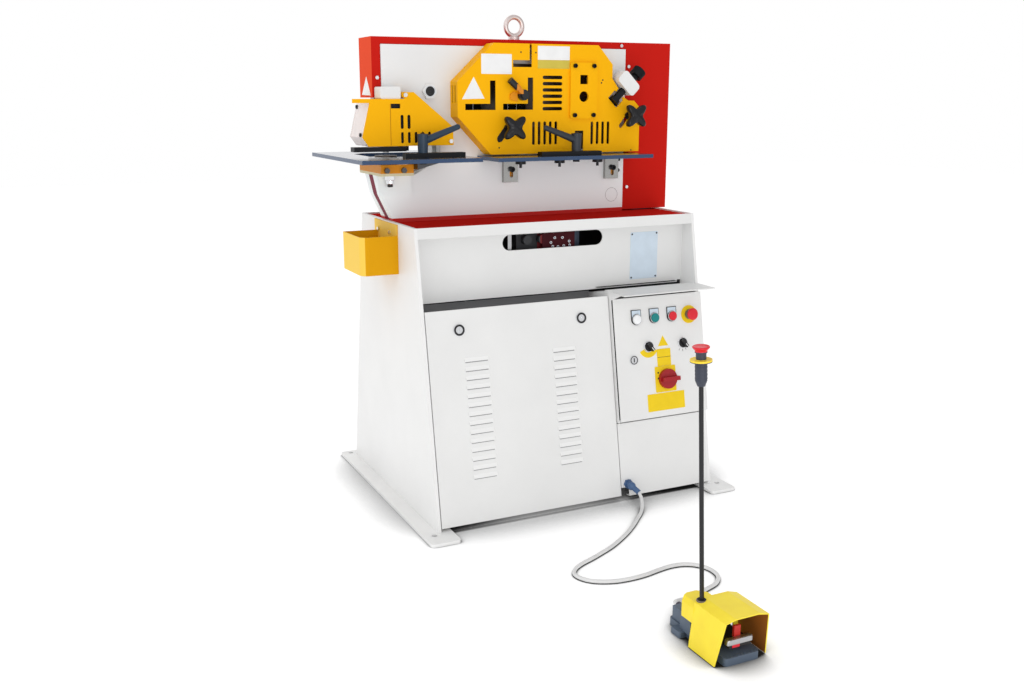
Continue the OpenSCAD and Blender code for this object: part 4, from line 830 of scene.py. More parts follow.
class Piece:
    """One visual piece, gathered from simple shaped parts and then given to a body."""

    def __init__(self, name: str, finish: Finish) -> None:
        """Start an empty piece.

        Args:
            name: Name of the piece.
            finish: Its one finish.
        """
        self.name = name
        self.finish = finish
        self.bm = bmesh.new()

    def _rows(self, where: Matrix, rows: Sequence[Sequence[Sequence[float]]]
              ) -> list[list[bmesh.types.BMVert]]:
        """Make points of the mesh.

        Args:
            where: Place of the rows.
            rows: Points of each row.

        Returns:
            The new points, row by row, in their place.
        """
        made = [[self.bm.verts.new(point) for point in row] for row in rows]
        bmesh.ops.transform(self.bm, matrix=where, verts=[v for row in made for v in row])
        return made

    def _skin(self, a: Sequence[bmesh.types.BMVert], b: Sequence[bmesh.types.BMVert]) -> None:
        """Close the strip between two rings, either of which may be a single point.

        Args:
            a: Points of the lower ring.
            b: Points of the upper ring.
        """
        n = max(len(a), len(b))
        for k in range(n):
            j = (k + 1) % n
            corners = (a[k % len(a)], a[j % len(a)], b[j % len(b)], b[k % len(b)])
            self.bm.faces.new(list(dict.fromkeys(corners)))

    def _solid(self, where: Matrix, rows: Sequence[Sequence[Sequence[float]]]) -> "Piece":
        """Closed shape through rows of points.

        Args:
            where: Place of the shape.
            rows: Points of each ring, from the bottom up.

        Returns:
            The piece, so that calls chain.
        """
        made = self._rows(where, rows)
        for a, b in zip(made, made[1:]):
            self._skin(a, b)
        for ring in (made[0][::-1], made[-1]):
            if len(ring) > 1:
                self.bm.faces.new(ring)
        return self

    def slab(self, where: Matrix, outline: Pairs, depth: float, bevel: float = SOFT_EDGE) -> "Piece":
        """Flat plate from an outline, raised along z.

        Args:
            where: Place of the outline.
            outline: Corners, anticlockwise.
            depth: Thickness.
            bevel: Width of the softened front edge.

        Returns:
            The piece, so that calls chain.
        """
        cx, cy = middle_of(outline)
        share = 1 - bevel / max(math.hypot(x - cx, y - cy) for x, y in outline)
        return self.loft(where, outline, ((1.0, 0.0), (1.0, depth - bevel), (share, depth)))

    def sign(self, where: Matrix, outline: Pairs) -> "Piece":
        """Returns: the piece with one thin blank sign."""
        return self.slab(where, outline, SIGN_T, SIGN_EDGE)

    def flat(self, where: Matrix, size: Flat) -> "Piece":
        """Returns: the piece with one flat rectangular plate about its place."""
        return self.slab(where, rectangle(size.width, size.height, size.corner), size.thick, size.edge)

    def loft(self, where: Matrix, outline: Pairs, layers: Pairs) -> "Piece":
        """Closed shape from one outline that is drawn in or out from layer to layer.

        Args:
            where: Place of the outline.
            outline: Corners, anticlockwise.
            layers: Share of the outline's size and height of each layer, from the bottom up.

        Returns:
            The piece, so that calls chain.
        """
        cx, cy = middle_of(outline)
        return self._solid(where, [[(cx + (x - cx) * share, cy + (y - cy) * share, z) for x, y in outline]
                                   for share, z in layers])

    def lathe(self, where: Matrix, profile: Pairs, sides: int = 40) -> "Piece":
        """Turned part about z.

        Args:
            where: Place of the axis.
            profile: Radius and height pairs, from the bottom up.
            sides: Facets round the axis.

        Returns:
            The piece, so that calls chain.
        """
        return self._solid(where, [[(*on_circle(r, k, sides), z) for k in range(sides if r > 0 else 1)]
                                   for r, z in profile])

    def ring(self, where: Matrix, inner: float, outer: float, depth: float, sides: int = 48) -> "Piece":
        """Flat ring with softened edges.

        Args:
            where: Place of its back.
            inner: Inner radius.
            outer: Outer radius.
            depth: Thickness.
            sides: Facets round the axis.

        Returns:
            The piece, so that calls chain.
        """
        soft = min(depth, outer - inner) * RING_SOFT
        profile = ((inner, 0.0), (outer, 0.0), (outer, depth - soft), (outer - soft, depth),
                   (inner + soft, depth), (inner, depth - soft))
        rows = self._rows(where, [[(*on_circle(r, k, sides), z) for k in range(sides)] for r, z in profile])
        for a, b in zip(rows, rows[1:] + rows[:1]):
            self._skin(a, b)
        return self

    def tube(self, points: Sequence[Vector], radius: float, sides: int) -> "Piece":
        """Closed tube along a path.

        Args:
            points: Centres of its rings.
            radius: Tube radius.
            sides: Facets round the tube.

        Returns:
            The piece, so that calls chain.
        """
        turns = [on_circle(radius, k, sides) for k in range(sides)]
        rows: list[list[Vector]] = []
        for i, p in enumerate(points):
            along = (points[min(i + 1, len(points) - 1)] - points[max(i - 1, 0)]).normalized()
            side = along.cross(Vector((0, 0, 1))).normalized()
            up = side.cross(along)
            rows.append([p + u * side + v * up for u, v in turns])
        return self._solid(HERE, rows)

    def done(self, slot: str, body: Body = Body.MACHINE, smooth: float = SMOOTH_BELOW) -> bpy.types.Object:
        """Turn the gathered shapes into an object on its body.

        Args:
            slot: Material slot of the record that it follows; not used.
            body: Body that it rides on.
            smooth: Edges flatter than this many degrees are shaded smooth.

        Returns:
            The object.
        """
        mesh = mesh_from(self.bm, self.name)
        mesh.materials.append(self.finish.material())
        return hand_over(self.name, mesh, body, smooth)


class Repeater:
    """Copies of one small mesh on many places, made with Geometry Nodes and kept as a plain mesh."""

    def __init__(self) -> None:
        """Build the tree, with its inputs for the copied mesh and the finish."""
        self.group = bpy.data.node_groups.new("copies_on_points", "GeometryNodeTree")
        face = self.group.interface
        self.ids: dict[str, str] = {}
        for name, kind in (("Geometry", "Geometry"), ("Copy", "Object"), ("Finish", "Material")):
            made = face.new_socket(name, in_out="INPUT", socket_type=f"NodeSocket{kind}")
            self.ids[name] = made.identifier
        face.new_socket("Geometry", in_out="OUTPUT", socket_type="NodeSocketGeometry")
        graph = Graph(self.group)
        start = graph.node("NodeGroupInput").outputs
        info = graph.node("GeometryNodeObjectInfo", {}, {"Object": start["Copy"], "As Instance": True})
        turn = graph.node("GeometryNodeInputNamedAttribute", {"data_type": "FLOAT_VECTOR"},
                          {"Name": "turn"})
        euler = graph.node("FunctionNodeEulerToRotation", {}, {"Euler": turn.outputs["Attribute"]})
        place = graph.node("GeometryNodeInstanceOnPoints", {}, {
            "Points": start["Geometry"], "Instance": info.outputs["Geometry"],
            "Rotation": euler.outputs["Rotation"]})
        real = graph.node("GeometryNodeRealizeInstances", {}, {"Geometry": place.outputs["Instances"]})
        paint = graph.node("GeometryNodeSetMaterial", {}, {
            "Geometry": real.outputs["Geometry"], "Material": start["Finish"]})
        graph.node("NodeGroupOutput", {}, {"Geometry": paint.outputs["Geometry"]})

    def copies(self, name: str, shape: Shape, places: Sequence[Matrix], finish: Finish, slot: str,
               body: Body = Body.MACHINE) -> bpy.types.Object:
        """Make the copies.

        Args:
            name: Name of the piece.
            shape: Draws one copy about the origin.
            places: Where each copy goes.
            finish: Finish of all copies.
            slot: Material slot of the record; not used.
            body: Body that they ride on.

        Returns:
            One object with every copy in it.
        """
        source = in_scene(name + "_seed", mesh_from(shape(Piece(name, finish)).bm, name + "_seed"))
        points = bpy.data.meshes.new(name + "_points")
        points.from_pydata([tuple(m.to_translation()) for m in places], [], [])
        turn = points.attributes.new("turn", "FLOAT_VECTOR", "POINT")
        for i, m in enumerate(places):
            turn.data[i].vector = tuple(m.to_euler("XYZ"))
        carrier = in_scene(name + "_points", points)
        modifier = carrier.modifiers.new("copies", "NODES")
        modifier.node_group = self.group
        modifier[self.ids["Copy"]] = source
        modifier[self.ids["Finish"]] = finish.material()
        bpy.context.view_layer.update()
        evaluated = carrier.evaluated_get(bpy.context.evaluated_depsgraph_get())
        mesh = bpy.data.meshes.new_from_object(evaluated)
        carrier.modifiers.remove(modifier)
        for used in (source, carrier):
            bpy.data.objects.remove(used)
        if not mesh.materials:
            mesh.materials.append(finish.material())
        return hand_over(name, mesh, body)


@dataclass(frozen=True)
class Lamp:
    """One soft square lamp: where it stands, the edge of its panel and its power in watts."""

    name: str
    at: Triple
    size: float
    power: float


@dataclass
class Stage:
    """Camera, light and floor, which are not part of the machine."""

    camera_at: Triple = (-1.583, -3.185, 1.294)
    yaw: float = 25.6
    pitch: float = 13.05
    lens: float = 37.0
    sensor: float = 36.0
    view_end: float = 60.0
    base_glow: float = 0.34
    left_glow: float = 0.26
    left_fade: Pair = (-0.10, -0.90)
    front_glow: float = 0.50
    front_fade: Pair = (-0.15, -0.95)
    back_glow: float = 0.66
    back_fade: Pair = (-0.10, 0.60)
    top_glow: float = 0.22
    top_fade: Pair = (0.25, 0.95)
    lit_point: Triple = (0.0, -0.1, 0.9)
    lamps: tuple[Lamp, ...] = (Lamp("key", (-3.0, -1.6, 3.6), 2.6, 16.0),
                               Lamp("fill", (-0.7, -3.6, 0.95), 1.4, 16.0))
    floor_reach: float = 14.0
    floor_glow: float = 0.58
    floor_grain: Pair = (3.0, 2.0)
    floor_tones: tuple[Colour, Colour] = ((0.54, 0.54, 0.54), (0.56, 0.56, 0.56))
    floor_roughness: float = 0.7
    floor_shine: float = 0.1
    contact_tone: Colour = (0.02, 0.02, 0.02)
    contact_reach: float = 0.30
    contact_fade: Pair = (0.42, 0.83)
    contact_samples: int = 24

    def camera(self) -> None:
        """Set the camera at the photograph's viewing angle."""
        data = bpy.data.cameras.new("photo_camera")
        data.sensor_width = self.sensor
        data.sensor_fit = "HORIZONTAL"
        data.lens = self.lens
        data.clip_end = self.view_end
        data.dof.use_dof = False
        obj = in_scene("photo_camera", data)
        obj.location = self.camera_at
        obj.rotation_euler = (math.radians(90 - self.pitch), 0.0, math.radians(-self.yaw))
        bpy.context.scene.camera = obj

    def surround(self) -> None:
        """White surround that is brighter in front and on the left, and white behind the machine."""
        world = bpy.data.worlds.new("white_surround")
        world.use_nodes = True
        graph = Graph(world.node_tree)
        toward = graph.node("ShaderNodeTexCoord").outputs["Generated"]
        parts = graph.node("ShaderNodeSeparateXYZ", {}, {0: toward}).outputs
        across, away, up = (Sock(graph, part) for part in parts)
        glow = (self.base_glow + self.left_glow * across.ramp(*self.left_fade)
                + self.front_glow * away.ramp(*self.front_fade) + self.back_glow * away.ramp(*self.back_fade)
                + self.top_glow * up.ramp(*self.top_fade))
        background = world.node_tree.nodes["Background"].inputs
        graph.plug(background["Color"], WHITE_LIGHT)
        graph.plug(background["Strength"], glow)
        bpy.context.scene.world = world
        bpy.context.scene.view_settings.view_transform = "Standard"

    def lights(self) -> None:
        """A key high on the left, and a fill that reaches under the tables."""
        for lamp in self.lamps:
            data = bpy.data.lights.new(lamp.name, "AREA")
            data.size = lamp.size
            data.energy = lamp.power
            obj = in_scene(lamp.name, data)
            obj.location = lamp.at
            aim = Vector(self.lit_point) - Vector(lamp.at)
            obj.rotation_euler = aim.to_track_quat("-Z", "Y").to_euler()

    def floor(self) -> None:
        """Plain pale floor, darker where the machine shuts out the light."""
        mesh = bpy.data.meshes.new("floor")
        corners = [(x, y, 0.0) for x, y in rectangle(2 * self.floor_reach, 2 * self.floor_reach)]
        mesh.from_pydata(corners, [], [(0, 1, 2, 3)])
        obj = in_scene("floor", mesh)
        s = Shader("pale_floor")
        sky = s.node("ShaderNodeAmbientOcclusion", {"samples": self.contact_samples},
                     {"Distance": self.contact_reach})
        lit = Sock(s, sky.outputs["AO"]).ramp(*self.contact_fade)
        pale = s.mix(s.noise(*self.floor_grain), *self.floor_tones)
        s.feed("Base Color", s.mix(lit, self.contact_tone, pale))
        s.feed("Roughness", self.floor_roughness)
        s.feed("Specular IOR Level", self.floor_shine)
        s.feed("Emission Color", s.mix(lit, NO_LIGHT, WHITE_LIGHT))
        s.feed("Emission Strength", self.floor_glow)
        mesh.materials.append(s.material)


@dataclass
class Cord:
    """The free cord from the machine's gland to the pedal, its route in millimetres."""

    diameter: float = 0.011
    sides: int = 18
    steps: int = 6
    points_mm: tuple[Triple, ...] = (
        (186, -450, 40), (184, -467, 30), (176, -486, 19), (162, -508, 11), (142, -532, 7), (116, -558, 6),
        (74, -600, 6), (26, -642, 6), (-22, -678, 6), (-72, -711, 6), (-122, -737, 6), (-168, -759, 6),
        (-206, -775, 6), (-240, -796, 6), (-260, -826, 6), (-255, -860, 6), (-230, -890, 6),
        (-184, -911, 6), (-134, -917, 6), (-84, -914, 6), (-36, -904, 6), (8, -898, 6), (46, -903, 6),
        (78, -923, 6), (97, -960, 6), (93, -1004, 6), (62, -1040, 6), (12, -1060, 6), (-32, -1075, 7),
        (-76, -1091, 12), (-112, -1108, 22), (-134, -1130, 32), (-140, -1152, 36))

    def route(self) -> list[Vector]:
        """Returns: points of the smooth curve through the given route."""
        p = [Vector(q) * MM for q in self.points_mm]
        out: list[Vector] = []
        for i in range(len(p) - 1):
            a, b, c, d = p[max(i - 1, 0)], p[i], p[i + 1], p[min(i + 2, len(p) - 1)]
            for k in range(self.steps):
                t = k / self.steps
                out.append(0.5 * (2 * b + (c - a) * t + (2 * a - 5 * b + 4 * c - d) * t * t
                                  + (3 * b - a - 3 * c + d) * t ** 3))
        return out + [p[-1]]

    def build(self) -> None:
        path = self.route()
        jacket = Piece("pedal_cord_jacket", Finish.CORD).tube(path, self.diameter / 2, self.sides)
        obj = jacket.done("cord_rubber")
        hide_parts("pedal_cord")


def turned(profile: Pairs, sides: int) -> Shape:
    """Returns: the function that draws one turned part about the origin."""
    return lambda piece: piece.lathe(HERE, profile, sides)


def ringed(inner: float, outer: float, depth: float, sides: int) -> Shape:
    """Returns: the function that draws one flat ring about the origin."""
    return lambda piece: piece.ring(HERE, inner, outer, depth, sides)


def strip(length: float, width: float, depth: float, corner: float, bevel: float = SOFT_EDGE) -> Shape:
    """Returns: the function that draws one flat strip with round corners about the origin."""
    return lambda piece: piece.slab(HERE, rectangle(length, width, corner, STRIP_STEPS), depth, bevel)


def ridge(length: float, width: float, height: float) -> Shape:
    """Returns: the function that draws one moulded ridge that lies along x."""
    return strip(length, width, height, width * RIDGE_ROUND, width * RIDGE_SOFT)


SMALL_SCREW = turned(((0.0030, 0), (0.0030, 0.0008), (0.0022, 0.0015), (0, 0.0018)), 20)
DRILLED_DOT = turned(((0.0026, 0), (0.0026, 0.0003), (0.0022, 0.0004)), 16)
CAP_SCREW = turned(((0.0062, 0), (0.0062, 0.0042), (0.0055, 0.0050), (0.0032, 0.0050), (0.0030, 0.0022)), 24)
BOLT_RING = ringed(0.0024, 0.0046, 0.0022, 24)
GRIP_RING = ringed(0.0134, 0.0144, 0.0030, 40)
# Painted shadow line under each louvre's lip.
LOUVRE_SHADOW_LINE = ridge(0.076, 0.0030, 0.0003)
TREADLE_RIB = ridge(0.010, 0.0018, 0.0012)
BASE_RIDGE = ridge(0.010, 0.0030, 0.0014)
LEVER_BUTTON: Pairs = ((0.0070, 0), (0.0070, 0.0020), (0.0050, 0.0032), (0, 0.0036))


@dataclass
class SubAssembly:
    """A part of the machine that makes its own visual pieces."""

    repeater: Repeater


@dataclass
class Controls(SubAssembly):
    """Small plates, rings and screws on the control enclosure and its door."""

    door_left: float = 0.155
    door_right: float = 0.497
    door_top: float = slope_y(ENC_TOP) - 0.028
    door_low: float = slope_y(0.257) + 0.010
    buttons_in_row: int = 3
    button_left: float = 0.084
    button_step: float = 0.069
    button_drop: float = 0.072
    legend: Flat = Flat(0.033, 0.033, 0.0007, 0.001)
    legend_rise: float = 0.0125
    legend_out: float = 0.003
    bezel: Triple = (0.0154, 0.0173, 0.0014)
    bezel_out: float = 0.0072
    lens: Pairs = ((0.0152, 0), (0.0152, 0.0012), (0.0135, 0.0042), (0.009, 0.0054), (0, 0.0058))
    stop_left: float = 0.291
    stop_neck: Triple = (0.0095, 0.0165, 0.010)
    neck_out: float = 0.002
    selector_lefts: Pair = (0.124, 0.258)
    selector_drop: float = 0.165
    selector_rim: Triple = (0.0153, 0.0183, 0.0060)
    rim_out: float = 0.0003
    selector_line: Flat = Flat(0.013, 0.0024, 0.0004, edge=FINE_EDGE)
    line_from_axis: float = 0.010
    line_out: float = 0.0201
    line_turn: float = -50.0
    tick: Flat = Flat(0.0012, 0.008, LINE_T, edge=LINE_EDGE)
    tick_turns: Triple = (-30, 0, 30)
    tick_from_axis: float = 0.025
    arc_radii: Pair = (0.0195, 0.037)
    arc_degrees: range = range(205, 336, 10)
    arc_t: float = 0.0007
    main_left: float = 0.188
    main_drop: float = 0.278
    upper_plate: Flat = Flat(0.053, 0.057, 0.0016, 0.002)
    upper_plate_at: Pair = (0.182, 0.206)
    lower_plate: Flat = Flat(0.145, 0.058, 0.0008, 0.002)
    lower_plate_at: Pair = (0.181, 0.353)
    seam: Flat = Flat(0.051, 0.0012, LINE_T, edge=LINE_EDGE)
    seam_drop: float = 0.205
    screw_inset: float = 0.0335
    screw_drops: Pair = (-0.0225, -0.0035)
    screw_out: float = 0.002
    triangle: Pairs = ((-0.020, -0.0165), (0.020, -0.0165), (0.0, 0.0185))
    triangle_at: Pair = (0.182, 0.1515)
    # Painted shade: the dark strips and sheet below stand for shade in the door's gaps and behind the visor.
    side_shade: float = 0.0042
    side_shade_left: float = 0.0024
    side_shade_rise: float = 0.006
    side_shade_proud: float = 0.0002
    top_shade: float = 0.0035
    top_shade_left: float = 0.010
    top_shade_rise: float = 0.0105
    top_shade_short: float = 0.006
    top_shade_proud: float = 0.0006
    shade_sheet: Flat = Flat(0.312, 0.015, 0.0004, edge=FINE_EDGE)
    shade_sheet_at: Triple = (0.3070, -0.2130, ENC_TOP)
    lock_left: float = 0.064
    lock_drop: float = 0.204
    lock_out: float = 0.0053
    lock_rim: Triple = (0.0112, 0.0138, 0.0006)
    key_slot: Flat = Flat(0.0038, 0.0138)
    key_slot_in: float = 0.002

    def spot(self, left: float, drop: float, out: float = 0.0, turn: float = 0.0) -> Matrix:
        """Returns: the place on the door, from its left and top edges and out of its face, turned."""
        return Face.sloped().at(self.door_left + left, self.door_top - drop, ENC_FACE + out, turn)

    def buttons(self) -> None:
        """Legend inserts, bezels, the lamp lens, the neck of the stop and the selectors' lines."""
        door = Body.ENCLOSURE_DOOR
        inserts = Piece("legend_inserts", Finish.LABEL_BLUE)
        bezels = Piece("button_bezels", Finish.CHROME)
        for i in range(self.buttons_in_row):
            left = self.button_left + i * self.button_step
            inserts.flat(self.spot(left, self.button_drop - self.legend_rise, self.legend_out), self.legend)
            bezels.ring(self.spot(left, self.button_drop, self.bezel_out), *self.bezel)
        for left in self.selector_lefts:
            bezels.ring(self.spot(left, self.selector_drop, self.rim_out), *self.selector_rim)
        inserts.done("white_paint", door)
        bezels.done("chrome", door)
        lens = Piece("lamp_lens", Finish.LAMP)
        lens.lathe(self.spot(self.button_left, self.button_drop, self.bezel_out), self.lens)
        lens.done("white_paint", door)
        neck = Piece("stop_neck", Finish.NECK)
        neck.ring(self.spot(self.stop_left, self.button_drop, self.neck_out), *self.stop_neck)
        neck.done("black_plastic", door)
        for left, body in zip(self.selector_lefts, (Body.LEFT_SELECTOR, Body.RIGHT_SELECTOR)):
            axis = self.spot(left, self.selector_drop, self.line_out, self.line_turn)
            line = Piece(f"{body.value}_line", Finish.LABEL_WHITE)
            line.flat(axis @ shift(self.line_from_axis), self.selector_line).done("black_plastic", body)

    def arc(self) -> list[Pair]:
        """Returns: the outline of the curved plate under the left selector."""
        inner, outer = self.arc_radii
        angles = [math.radians(a) for a in self.arc_degrees]
        return ([(outer * math.cos(a), outer * math.sin(a)) for a in angles]
                + [(inner * math.cos(a), inner * math.sin(a)) for a in reversed(angles)])

    def plates(self) -> None:
        """Blank plates with their seam lines and screws."""
        door = Body.ENCLOSURE_DOOR
        yellow = Piece("blank_yellow_plates", Finish.LABEL_YELLOW)
        yellow.flat(self.spot(*self.upper_plate_at), self.upper_plate)
        yellow.flat(self.spot(*self.lower_plate_at), self.lower_plate)
        yellow.slab(self.spot(self.selector_lefts[0], self.selector_drop), self.arc(), self.arc_t, FINE_EDGE)
        yellow.slab(self.spot(*self.triangle_at), self.triangle, SIGN_T).done("yellow_plastic", door)
        lines = Piece("plate_seam_lines", Finish.BLACK)
        lines.flat(self.spot(self.upper_plate_at[0], self.seam_drop, self.upper_plate.thick), self.seam)
        for turn in self.tick_turns:
            axis = self.spot(self.selector_lefts[1], self.selector_drop, turn=turn)
            lines.flat(axis @ shift(y=-self.tick_from_axis), self.tick)
        lines.done("black_plastic", door)
        places = [self.spot(self.main_left - self.screw_inset, self.main_drop + drop, self.screw_out)
                  for drop in self.screw_drops]
        self.repeater.copies("switch_plate_screws", SMALL_SCREW, places, Finish.BLACK, "fasteners", door)

    def gap_shades(self) -> None:
        """Painted shade: dark rubber strips along the left edge and the top of the door, and a dark sheet
        behind the visor, for the shade in these gaps.
        """
        face = Face.sloped()
        tall, wide = self.door_top - self.door_low, self.door_right - self.door_left
        side = Flat(self.side_shade, tall + 2 * self.side_shade_rise, ENC_FACE + self.side_shade_proud)
        middle = (self.door_top + self.door_low) / 2
        over = Flat(wide - self.top_shade_short, self.top_shade, ENC_FACE + self.top_shade_proud)
        across = (self.door_left + self.door_right - self.top_shade_left) / 2
        rubber = Piece("door_gasket", Finish.RUBBER)
        rubber.flat(face.at(self.door_left - self.side_shade_left, middle + self.side_shade_rise), side)
        rubber.flat(face.at(across, self.door_top + self.top_shade_rise), over).done("black_plastic")
        Piece("visor_sill", Finish.RUBBER).flat(shift(*self.shade_sheet_at), self.shade_sheet).done("dark_paint")

    def lock(self) -> None:
        """Dark rim and key slot of the door lock."""
        dark = Piece("lock_insert", Finish.BLACK)
        dark.ring(self.spot(self.lock_left, self.lock_drop, self.lock_out), *self.lock_rim)
        dark.flat(self.spot(self.lock_left, self.lock_drop, self.lock_out - self.key_slot_in), self.key_slot)
        dark.done("black_plastic", Body.ENCLOSURE_LOCK)

    def build(self) -> None:
        """Make every piece of the controls."""
        self.buttons()
        self.plates()
        self.gap_shades()
        self.lock()


@dataclass
class Cabinet(SubAssembly):
    """Plates and trim on the cabinet, and the valves behind the hand slot."""

    plate: Flat = Flat(0.107, 0.158, 0.0010, 0.003)
    plate_at: Pair = (0.3375, 0.777)
    screw_inset: Pair = (0.0055, 0.006)
    catch_xs: Pair = (-0.382, 0.041)
    catch_y: float = slope_y(DOOR_RIM) - 0.062
    catch_rim: Triple = (0.0112, 0.0172, 0.0008)
    rim_out: float = 0.0053
    key_slot: Flat = Flat(0.004, 0.0175)
    key_slot_out: float = 0.0012
    louvre_xs: Pair = (-0.331, -0.028)
    louvre_top: float = slope_y(DOOR_RIM) - 0.155
    louvre_lip: float = 0.0077
    louvre_pitch: float = 0.0277
    louvres: int = 14
    valve_y: float = -0.1855
    cover: Flat = Flat(0.118, 0.070, 0.0016, 0.006)
    cover_at: Pair = (0.021, 0.848)
    support: Flat = Flat(0.013, 0.062, 0.0030, 0.002)
    support_at: Pair = (-0.1555, 0.848)
    valve_bolts: Pairs = (
        (0.006, 0.853), (0.034, 0.852), (-0.008, 0.838), (0.059, 0.839), (-0.001, 0.825), (0.018, 0.823),
        (0.039, 0.825), (0.061, 0.826))

    def data_plate(self) -> None:
        """Blank plate on the recessed panel, with a screw in each corner."""
        face = Face.upright(RECESS_Y)
        x, y = self.plate_at
        Piece("blank_data_plate", Finish.LABEL_BLUE).flat(face.at(x, y), self.plate).done("white_paint")
        dx, dy = self.plate.width / 2 - self.screw_inset[0], self.plate.height / 2 - self.screw_inset[1]
        places = [face.at(x + a * dx, y + b * dy, self.plate.thick) for a in (-1, 1) for b in (-1, 1)]
        self.repeater.copies("data_plate_screws", SMALL_SCREW, places, Finish.BLACK, "fasteners")

    def valves(self) -> None:
        """Valve cover with bolts and a support bar, seen through the hand slot."""
        face = Face.upright(self.valve_y)
        Piece("valve_cover", Finish.VALVE_RED).flat(face.at(*self.cover_at), self.cover).done("dark_paint")
        Piece("valve_support_bar", Finish.STEEL).flat(face.at(*self.support_at), self.support).done("steel")
        places = [face.at(x, z, self.cover.thick) for x, z in self.valve_bolts]
        self.repeater.copies("valve_bolt_rings", BOLT_RING, places, Finish.CHROME, "chrome")
        self.repeater.copies("valve_bolt_plugs", DRILLED_DOT, places, Finish.BOLT_BLUE, "blue_grey_plastic")

    def catches(self) -> None:
        """Dark rim and key slot of each door catch."""
        slope = Face.sloped()
        for x, body in zip(self.catch_xs, (Body.LEFT_CATCH, Body.RIGHT_CATCH)):
            insert = Piece(f"{body.value}_insert", Finish.BLACK)
            insert.ring(slope.at(x, self.catch_y, self.rim_out), *self.catch_rim)
            insert.flat(slope.at(x, self.catch_y, self.key_slot_out), self.key_slot)
            insert.done("black_plastic", body)

    def louvre_slots(self) -> None:
        """Painted shadow: a dark line under the lip of each pressed louvre."""
        slope = Face.sloped()
        places = [slope.at(x, self.louvre_top - i * self.louvre_pitch - self.louvre_lip)
                  for x in self.louvre_xs for i in range(self.louvres)]
        self.repeater.copies("louvre_slots", LOUVRE_SHADOW_LINE, places, Finish.RAIL, "dark_paint", Body.FRONT_DOOR)

    def build(self) -> None:
        """Make every piece of the cabinet."""
        self.data_plate()
        self.valves()
        self.catches()
        self.louvre_slots()


@dataclass
class FrameFront(SubAssembly):
    """Details on the front frame plate and between the two plates."""

    pivot: Pair = (-0.362, 1.313)
    cap_y: float = -0.050
    cap_depth: float = 0.0060
    cap_profile: Pairs = ((0.0147, 0), (0.0147, 0.0056), (0.0142, 0.0060), (0.008, 0.0060), (0.0075, 0.0040))
    cap_rim: Triple = (0.0152, 0.0186, 0.0006)
    mark: Pair = (0.3035, 0.9685)
    mark_radius: float = 0.0240
    mark_width: float = 0.0011
    holes: tuple[Triple, ...] = ((0.329, 1.051, 0.0062), (0.331, 1.087, 0.0058))
    hole_profile: Pairs = ((1.0, 0), (1.0, 0.0003), (0.9, 0.0004))
    hole_sides: int = 28
    outlet_x: Pair = (-0.248, 0.232)
    outlet_z: Pair = (1.196, 1.412)
    outlet_shade_y: float = 0.1025
    cover_back: float = 0.0821
    strips: int = 15
    strip_gap: float = 0.001
    strip_t: float = 0.0016
    strip_corner: float = 0.004
    bar_height: float = 0.028
    bar_rise: float = 0.010
    bar_corner: float = 0.003
    bar_lap: float = 0.002
    throat_outline: Pairs = ((-0.4868, 0.916), (-0.467, 0.916), (-0.507, 1.000), (-0.520, 1.057), (-0.5412, 1.057),
                    (-0.5275, 0.997))
    throat_outline_y: float = 0.034
    throat_outline_depth: float = 0.038

    def marks(self) -> None:
        """The pivot insert with its rim, the turned mark, and dark discs painted as the shade in the drilled
        holes.
        """
        face = Face.upright(self.cap_y)
        insert = Piece("pivot_insert", Finish.BLACK)
        insert.lathe(face.at(*self.pivot, -self.cap_depth), self.cap_profile).done("black_plastic")
        Piece("pivot_insert_rim", Finish.CHROME).ring(face.at(*self.pivot), *self.cap_rim).done("chrome")
        front = Face.upright(PLATE_FRONT)
        mark = Piece("turned_mark", Finish.RAIL)
        mark.ring(front.at(*self.mark), self.mark_radius - self.mark_width, self.mark_radius, LINE_T)
        mark.done("white_paint")
        # Painted shade: dark discs stand for the shade inside the drilled holes.
        holes = Piece("plate_holes", Finish.RUBBER)
        for x, z, r in self.holes:
            profile = [(r * share, depth) for share, depth in self.hole_profile]
            holes.lathe(front.at(x, z), profile, self.hole_sides)
        holes.done("dark_paint")

    def outlet_shade(self) -> None:
        """Painted shade: rubber strips that hang behind the rear outlet from a thin bar, to darken what shows
        through it.
        """
        left, right = self.outlet_x
        low, high = self.outlet_z
        step = (right - left) / self.strips
        face = Face.upright(self.outlet_shade_y)
        places = [face.at(left + step * (i + 0.5), (low + high) / 2) for i in range(self.strips)]
        hanging = strip(step - self.strip_gap, high - low, self.strip_t, self.strip_corner)
        self.repeater.copies("outlet_strips", hanging, places, Finish.RUBBER, "black_plastic")
        reach = self.outlet_shade_y - self.cover_back + self.bar_lap
        bar = Piece("outlet_strip_bar", Finish.BLACK_STEEL)
        bar.flat(face.at((left + right) / 2, high + self.bar_rise, -self.bar_lap),
                 Flat(right - left, self.bar_height, reach, self.bar_corner)).done("black_paint")

    def build(self) -> None:
        """Make every piece of the frame, the dark red sheet in the throat last; its darkness is painted shade
        between the plates.
        """
        self.marks()
        self.outlet_shade()
        # Painted shade: a dark red sheet between the plates stands for the shaded red inside of the throat.
        shade_backing = Piece("throat_lining", Finish.LINER_RED)
        shade_backing.slab(Face.upright(self.throat_outline_y).at(), self.throat_outline, self.throat_outline_depth).done("red_paint")


